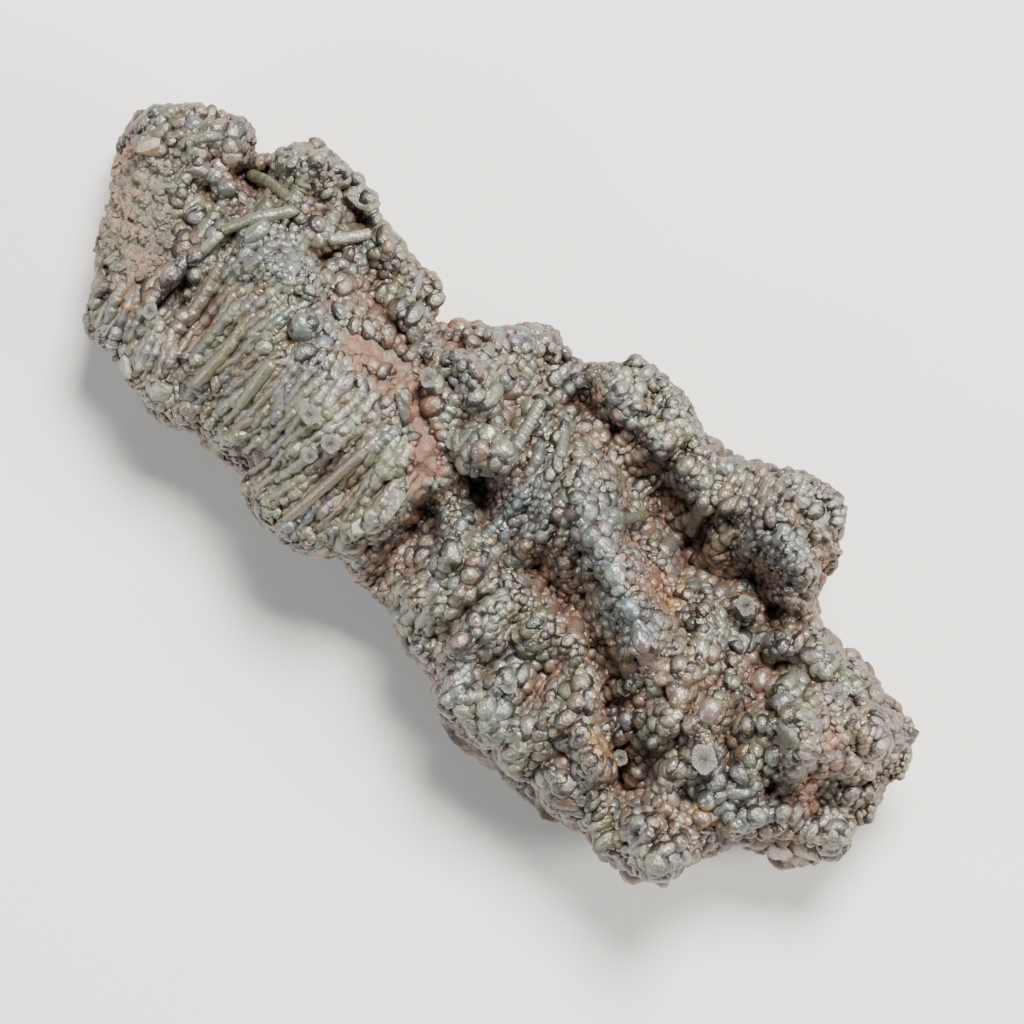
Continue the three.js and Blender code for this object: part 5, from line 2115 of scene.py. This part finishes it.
@dataclass(frozen=True)
class FractureFinish:
    """Finish of the broken ends: pale, with fine rays from the middle."""

    name: str
    centre: Colour
    rim: Colour
    side: Colour
    rays: float = 26.0

    def material(self) -> Material:
        """Makes the material.

        Returns:
            The material.
        """
        made, n = start_finish(self.name)
        place = n.add("ShaderNodeTexCoord").outputs["Object"]
        ray = n.add("ShaderNodeAttribute", attribute_name="ray").outputs["Vector"]
        split = n.add("ShaderNodeSeparateXYZ")
        n.join(ray, split.inputs[0])
        angle = n.math("ARCTAN2", split.outputs["Y"], split.outputs["X"])
        squares = [n.math("POWER", split.outputs[axis], 2.0) for axis in "XY"]
        out = n.math("SQRT", n.plus(*squares))
        wave = n.math("SINE", n.plus(n.times(angle, self.rays), n.times(n.noise(place, 2500, 3), 9.0)))
        ring = n.math("SINE", n.times(out, 19.0))
        dust = n.noise(place, 3800, 5, 0.7)
        face = n.mix(n.step(out, 0.1, 0.95), self.centre, self.rim)
        face = n.mix(n.times(n.step(wave, 0.0, 1.0), 0.35), face, self.side)
        face = n.mix(n.times(n.step(ring, 0.4, 1.0), 0.25), face, self.side)
        face = n.mix(n.times(n.step(dust, 0.4, 0.75), 0.35), face, linear(178, 174, 167))
        base = n.mix(split.outputs["Z"], self.side, face)
        height = n.plus(n.times(n.times(wave, split.outputs["Z"]), 0.25), dust)
        bump = n.add("ShaderNodeBump")
        bump.inputs["Distance"].default_value = 0.00012
        n.join(height, bump.inputs["Height"])
        shader = n.add("ShaderNodeBsdfPrincipled")
        shader.inputs["Metallic"].default_value = 0.05
        n.join(base, shader.inputs["Base Color"])
        n.join(n.plus(0.4, n.times(dust, 0.35)), shader.inputs["Roughness"])
        n.join(bump.outputs["Normal"], shader.inputs["Normal"])
        n.join(shader.outputs[0], n.add("ShaderNodeOutputMaterial").inputs[0])
        return made


FRACTURE = FractureFinish(
    name="fracture", centre=linear(90, 85, 76), rim=linear(108, 106, 97), side=linear(68, 64, 57)
)


def stone_finishes(palette: Palette) -> tuple[StoneFinish, ...]:
    """The finishes of the grown pieces.

    Args:
        palette: the colours.

    Returns:
        One finish for each kind of growth.
    """
    return (
        StoneFinish(
            "crust", low=0.40, high=0.66, metallic=0.12, bead_scale=1300.0, beads=0.7, grit=1.0, coat=0.05
        ),
        StoneFinish(
            "bead", low=0.32, high=0.54, metallic=0.40, bead_scale=2300.0, beads=0.4, grit=0.4, rings=0.09
        ),
        StoneFinish(
            "finger",
            low=0.34,
            high=0.54,
            metallic=0.33,
            bead_scale=2000.0,
            beads=0.4,
            warmth=0.8,
            veil=palette.matrix,
            veil_share=0.15,
        ),
        StoneFinish(
            "rod",
            low=0.28,
            high=0.44,
            metallic=0.25,
            bead_scale=2600.0,
            beads=0.3,
            grit=0.4,
            warmth=0.4,
            coat=0.15,
            veil=palette.olive,
            veil_share=0.25,
        ),
        StoneFinish(
            "knob", low=0.30, high=0.48, metallic=0.40, bead_scale=1700.0, beads=0.4, grit=0.4, rings=0.08
        ),
        StoneFinish(
            "chip", low=0.3, high=0.5, metallic=0.2, bead_scale=1400.0, beads=0.2, grit=0.9, warmth=0.8
        ),
    )


@dataclass(frozen=True)
class FloorFinish:
    """Pale matt paper."""

    colour: Colour = linear(226, 224, 220)

    def material(self) -> Material:
        """Makes the material.

        Returns:
            The material.
        """
        made = bpy.data.materials.new("floor")
        made.use_nodes = True
        shader = made.node_tree.nodes["Principled BSDF"]
        shader.inputs["Base Color"].default_value = (*self.colour, 1.0)
        shader.inputs["Roughness"].default_value = 0.9
        return made


@dataclass(frozen=True)
class Lamp:
    """A square soft light aimed at the specimen, in metres and watts."""

    name: str
    place: tuple[float, float, float]
    size: float
    power: float
    colour: Colour = (1.0, 1.0, 1.0)

    def build(self, target: Vector) -> None:
        """Puts the light in place.

        Args:
            target: the point that it is aimed at, in metres.
        """
        data = bpy.data.lights.new(self.name, "AREA")
        data.size = self.size
        data.energy = self.power
        data.color = self.colour
        lamp = put_in_scene(self.name, data)
        lamp.location = self.place
        lamp.rotation_euler = (target - Vector(self.place)).to_track_quat("-Z", "Y").to_euler()


class Studio:
    """Floor, soft lights and the camera that looks straight down."""

    TURN = 42.0
    LOOK_AT = (3.67, -0.76, 15.0)
    DISTANCE = 500.0
    VIEW_WIDTH = 99.13
    SENSOR = 36.0
    # Lamps: name, place to the right, up the picture and above, width in metres, watts, colour
    LAMPS = (
        ("key", (0.13, 0.35, 0.62), 0.24, 16.4, (1.0, 0.98, 0.93)),
        ("left", (-0.48, -0.14, 0.34), 0.22, 2.3, (0.95, 0.98, 1.0)),
        ("right", (0.46, -0.10, 0.34), 0.22, 4.0, (1.0, 0.97, 0.92)),
    )

    def build(self) -> None:
        """Sets up floor, lights, world and camera."""
        self._floor()
        angle = math.radians(self.TURN)
        up = Vector((-math.sin(angle), math.cos(angle), 0))
        right = Vector((math.cos(angle), math.sin(angle), 0))
        target = Vector((0, 0, 0.012))
        for name, (aside, along, above), size, power, colour in self.LAMPS:
            place = right * aside + up * along + Vector((0, 0, above))
            Lamp(name, tuple(place), size, power, colour).build(target)
        world = bpy.data.worlds.new("studio")
        bpy.context.scene.world = world
        world.use_nodes = True
        sky = world.node_tree.nodes["Background"].inputs
        sky["Color"].default_value = (0.9, 0.95, 1.0, 1.0)
        sky["Strength"].default_value = 0.09
        self._camera()

    def _floor(self) -> None:
        """Lays the floor under the specimen."""
        shape = bmesh.new()
        bmesh.ops.create_grid(shape, x_segments=1, y_segments=1, size=1.5)
        mesh = bpy.data.meshes.new("floor")
        shape.to_mesh(mesh)
        shape.free()
        mesh.materials.append(FloorFinish().material())
        put_in_scene("floor", mesh)

    def _camera(self) -> None:
        """Places the camera over the specimen."""
        data = bpy.data.cameras.new("camera")
        data.sensor_width = self.SENSOR
        data.lens = self.SENSOR * self.DISTANCE / self.VIEW_WIDTH
        data.clip_start = 0.01
        data.clip_end = 20.0
        data.dof.use_dof = False
        camera = put_in_scene("camera", data)
        x, y, z = self.LOOK_AT
        camera.location = (x * MM, y * MM, (z + self.DISTANCE) * MM)
        camera.rotation_euler = (0, 0, math.radians(self.TURN))
        bpy.context.scene.camera = camera


def dress(piece: Piece, material: Material) -> None:
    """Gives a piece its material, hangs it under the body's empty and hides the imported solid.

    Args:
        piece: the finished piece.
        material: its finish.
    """
    piece.data.materials.clear()
    piece.data.materials.append(material)
    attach(piece, BODY)
    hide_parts(NODE)
    LOG.info("%s: %d triangles", piece.name, sum(len(p.vertices) - 2 for p in piece.data.polygons))


def main() -> None:
    """Builds the specimen piece by piece, dresses it and sets up the studio."""
    logging.basicConfig(level=logging.INFO, format="%(asctime)s %(name)s %(message)s")
    low, high = (np.array(corner[:]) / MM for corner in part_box(NODE))
    limits = (low, high)
    crust = Crust(CrustSize(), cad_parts[NODE])
    body = crust.build()
    painter = Painter(Envelope(corners_of(crust.mesh)))
    crease_shade = 1 - smooth(crust.relief, -1.5, -0.3)
    corners = np.clip(corners_of(crust.mesh), low, high)
    crust.mesh.vertices.foreach_set("co", (corners * MM).astype(np.float32).ravel())
    painter.paint(crust.mesh, np.stack([0.75 * crease_shade, np.full(len(crease_shade), 0.45)], axis=1))
    palette = Palette()
    groups = {
        "colour": GroupMaker.crust_colour(palette),
        "normal": GroupMaker.grain_normal(),
        "satin": GroupMaker.satin(),
    }
    finish = {stone.name: stone.material(groups) for stone in stone_finishes(palette)}
    finish["fracture"] = FRACTURE.material()
    cover = (crust, painter, limits)
    dress(body, finish["crust"])
    for piece in Beads(*cover).build():
        dress(piece, finish["bead"])
    for growth, name in (
        (Fingers(*cover, FLUTES), "finger"),
        (Fingers(*cover, BEADED_FINGERS), "bead"),
        (Rods(*cover), "rod"),
        (Knobs(*cover), "knob"),
        (BrokenTips(*cover), "fracture"),
        (Chips(*cover), "chip"),
        (Flakes(*cover), "crust"),
    ):
        dress(growth.build(), finish[name])
    Studio().build()


if __name__ == "__main__":
    main()
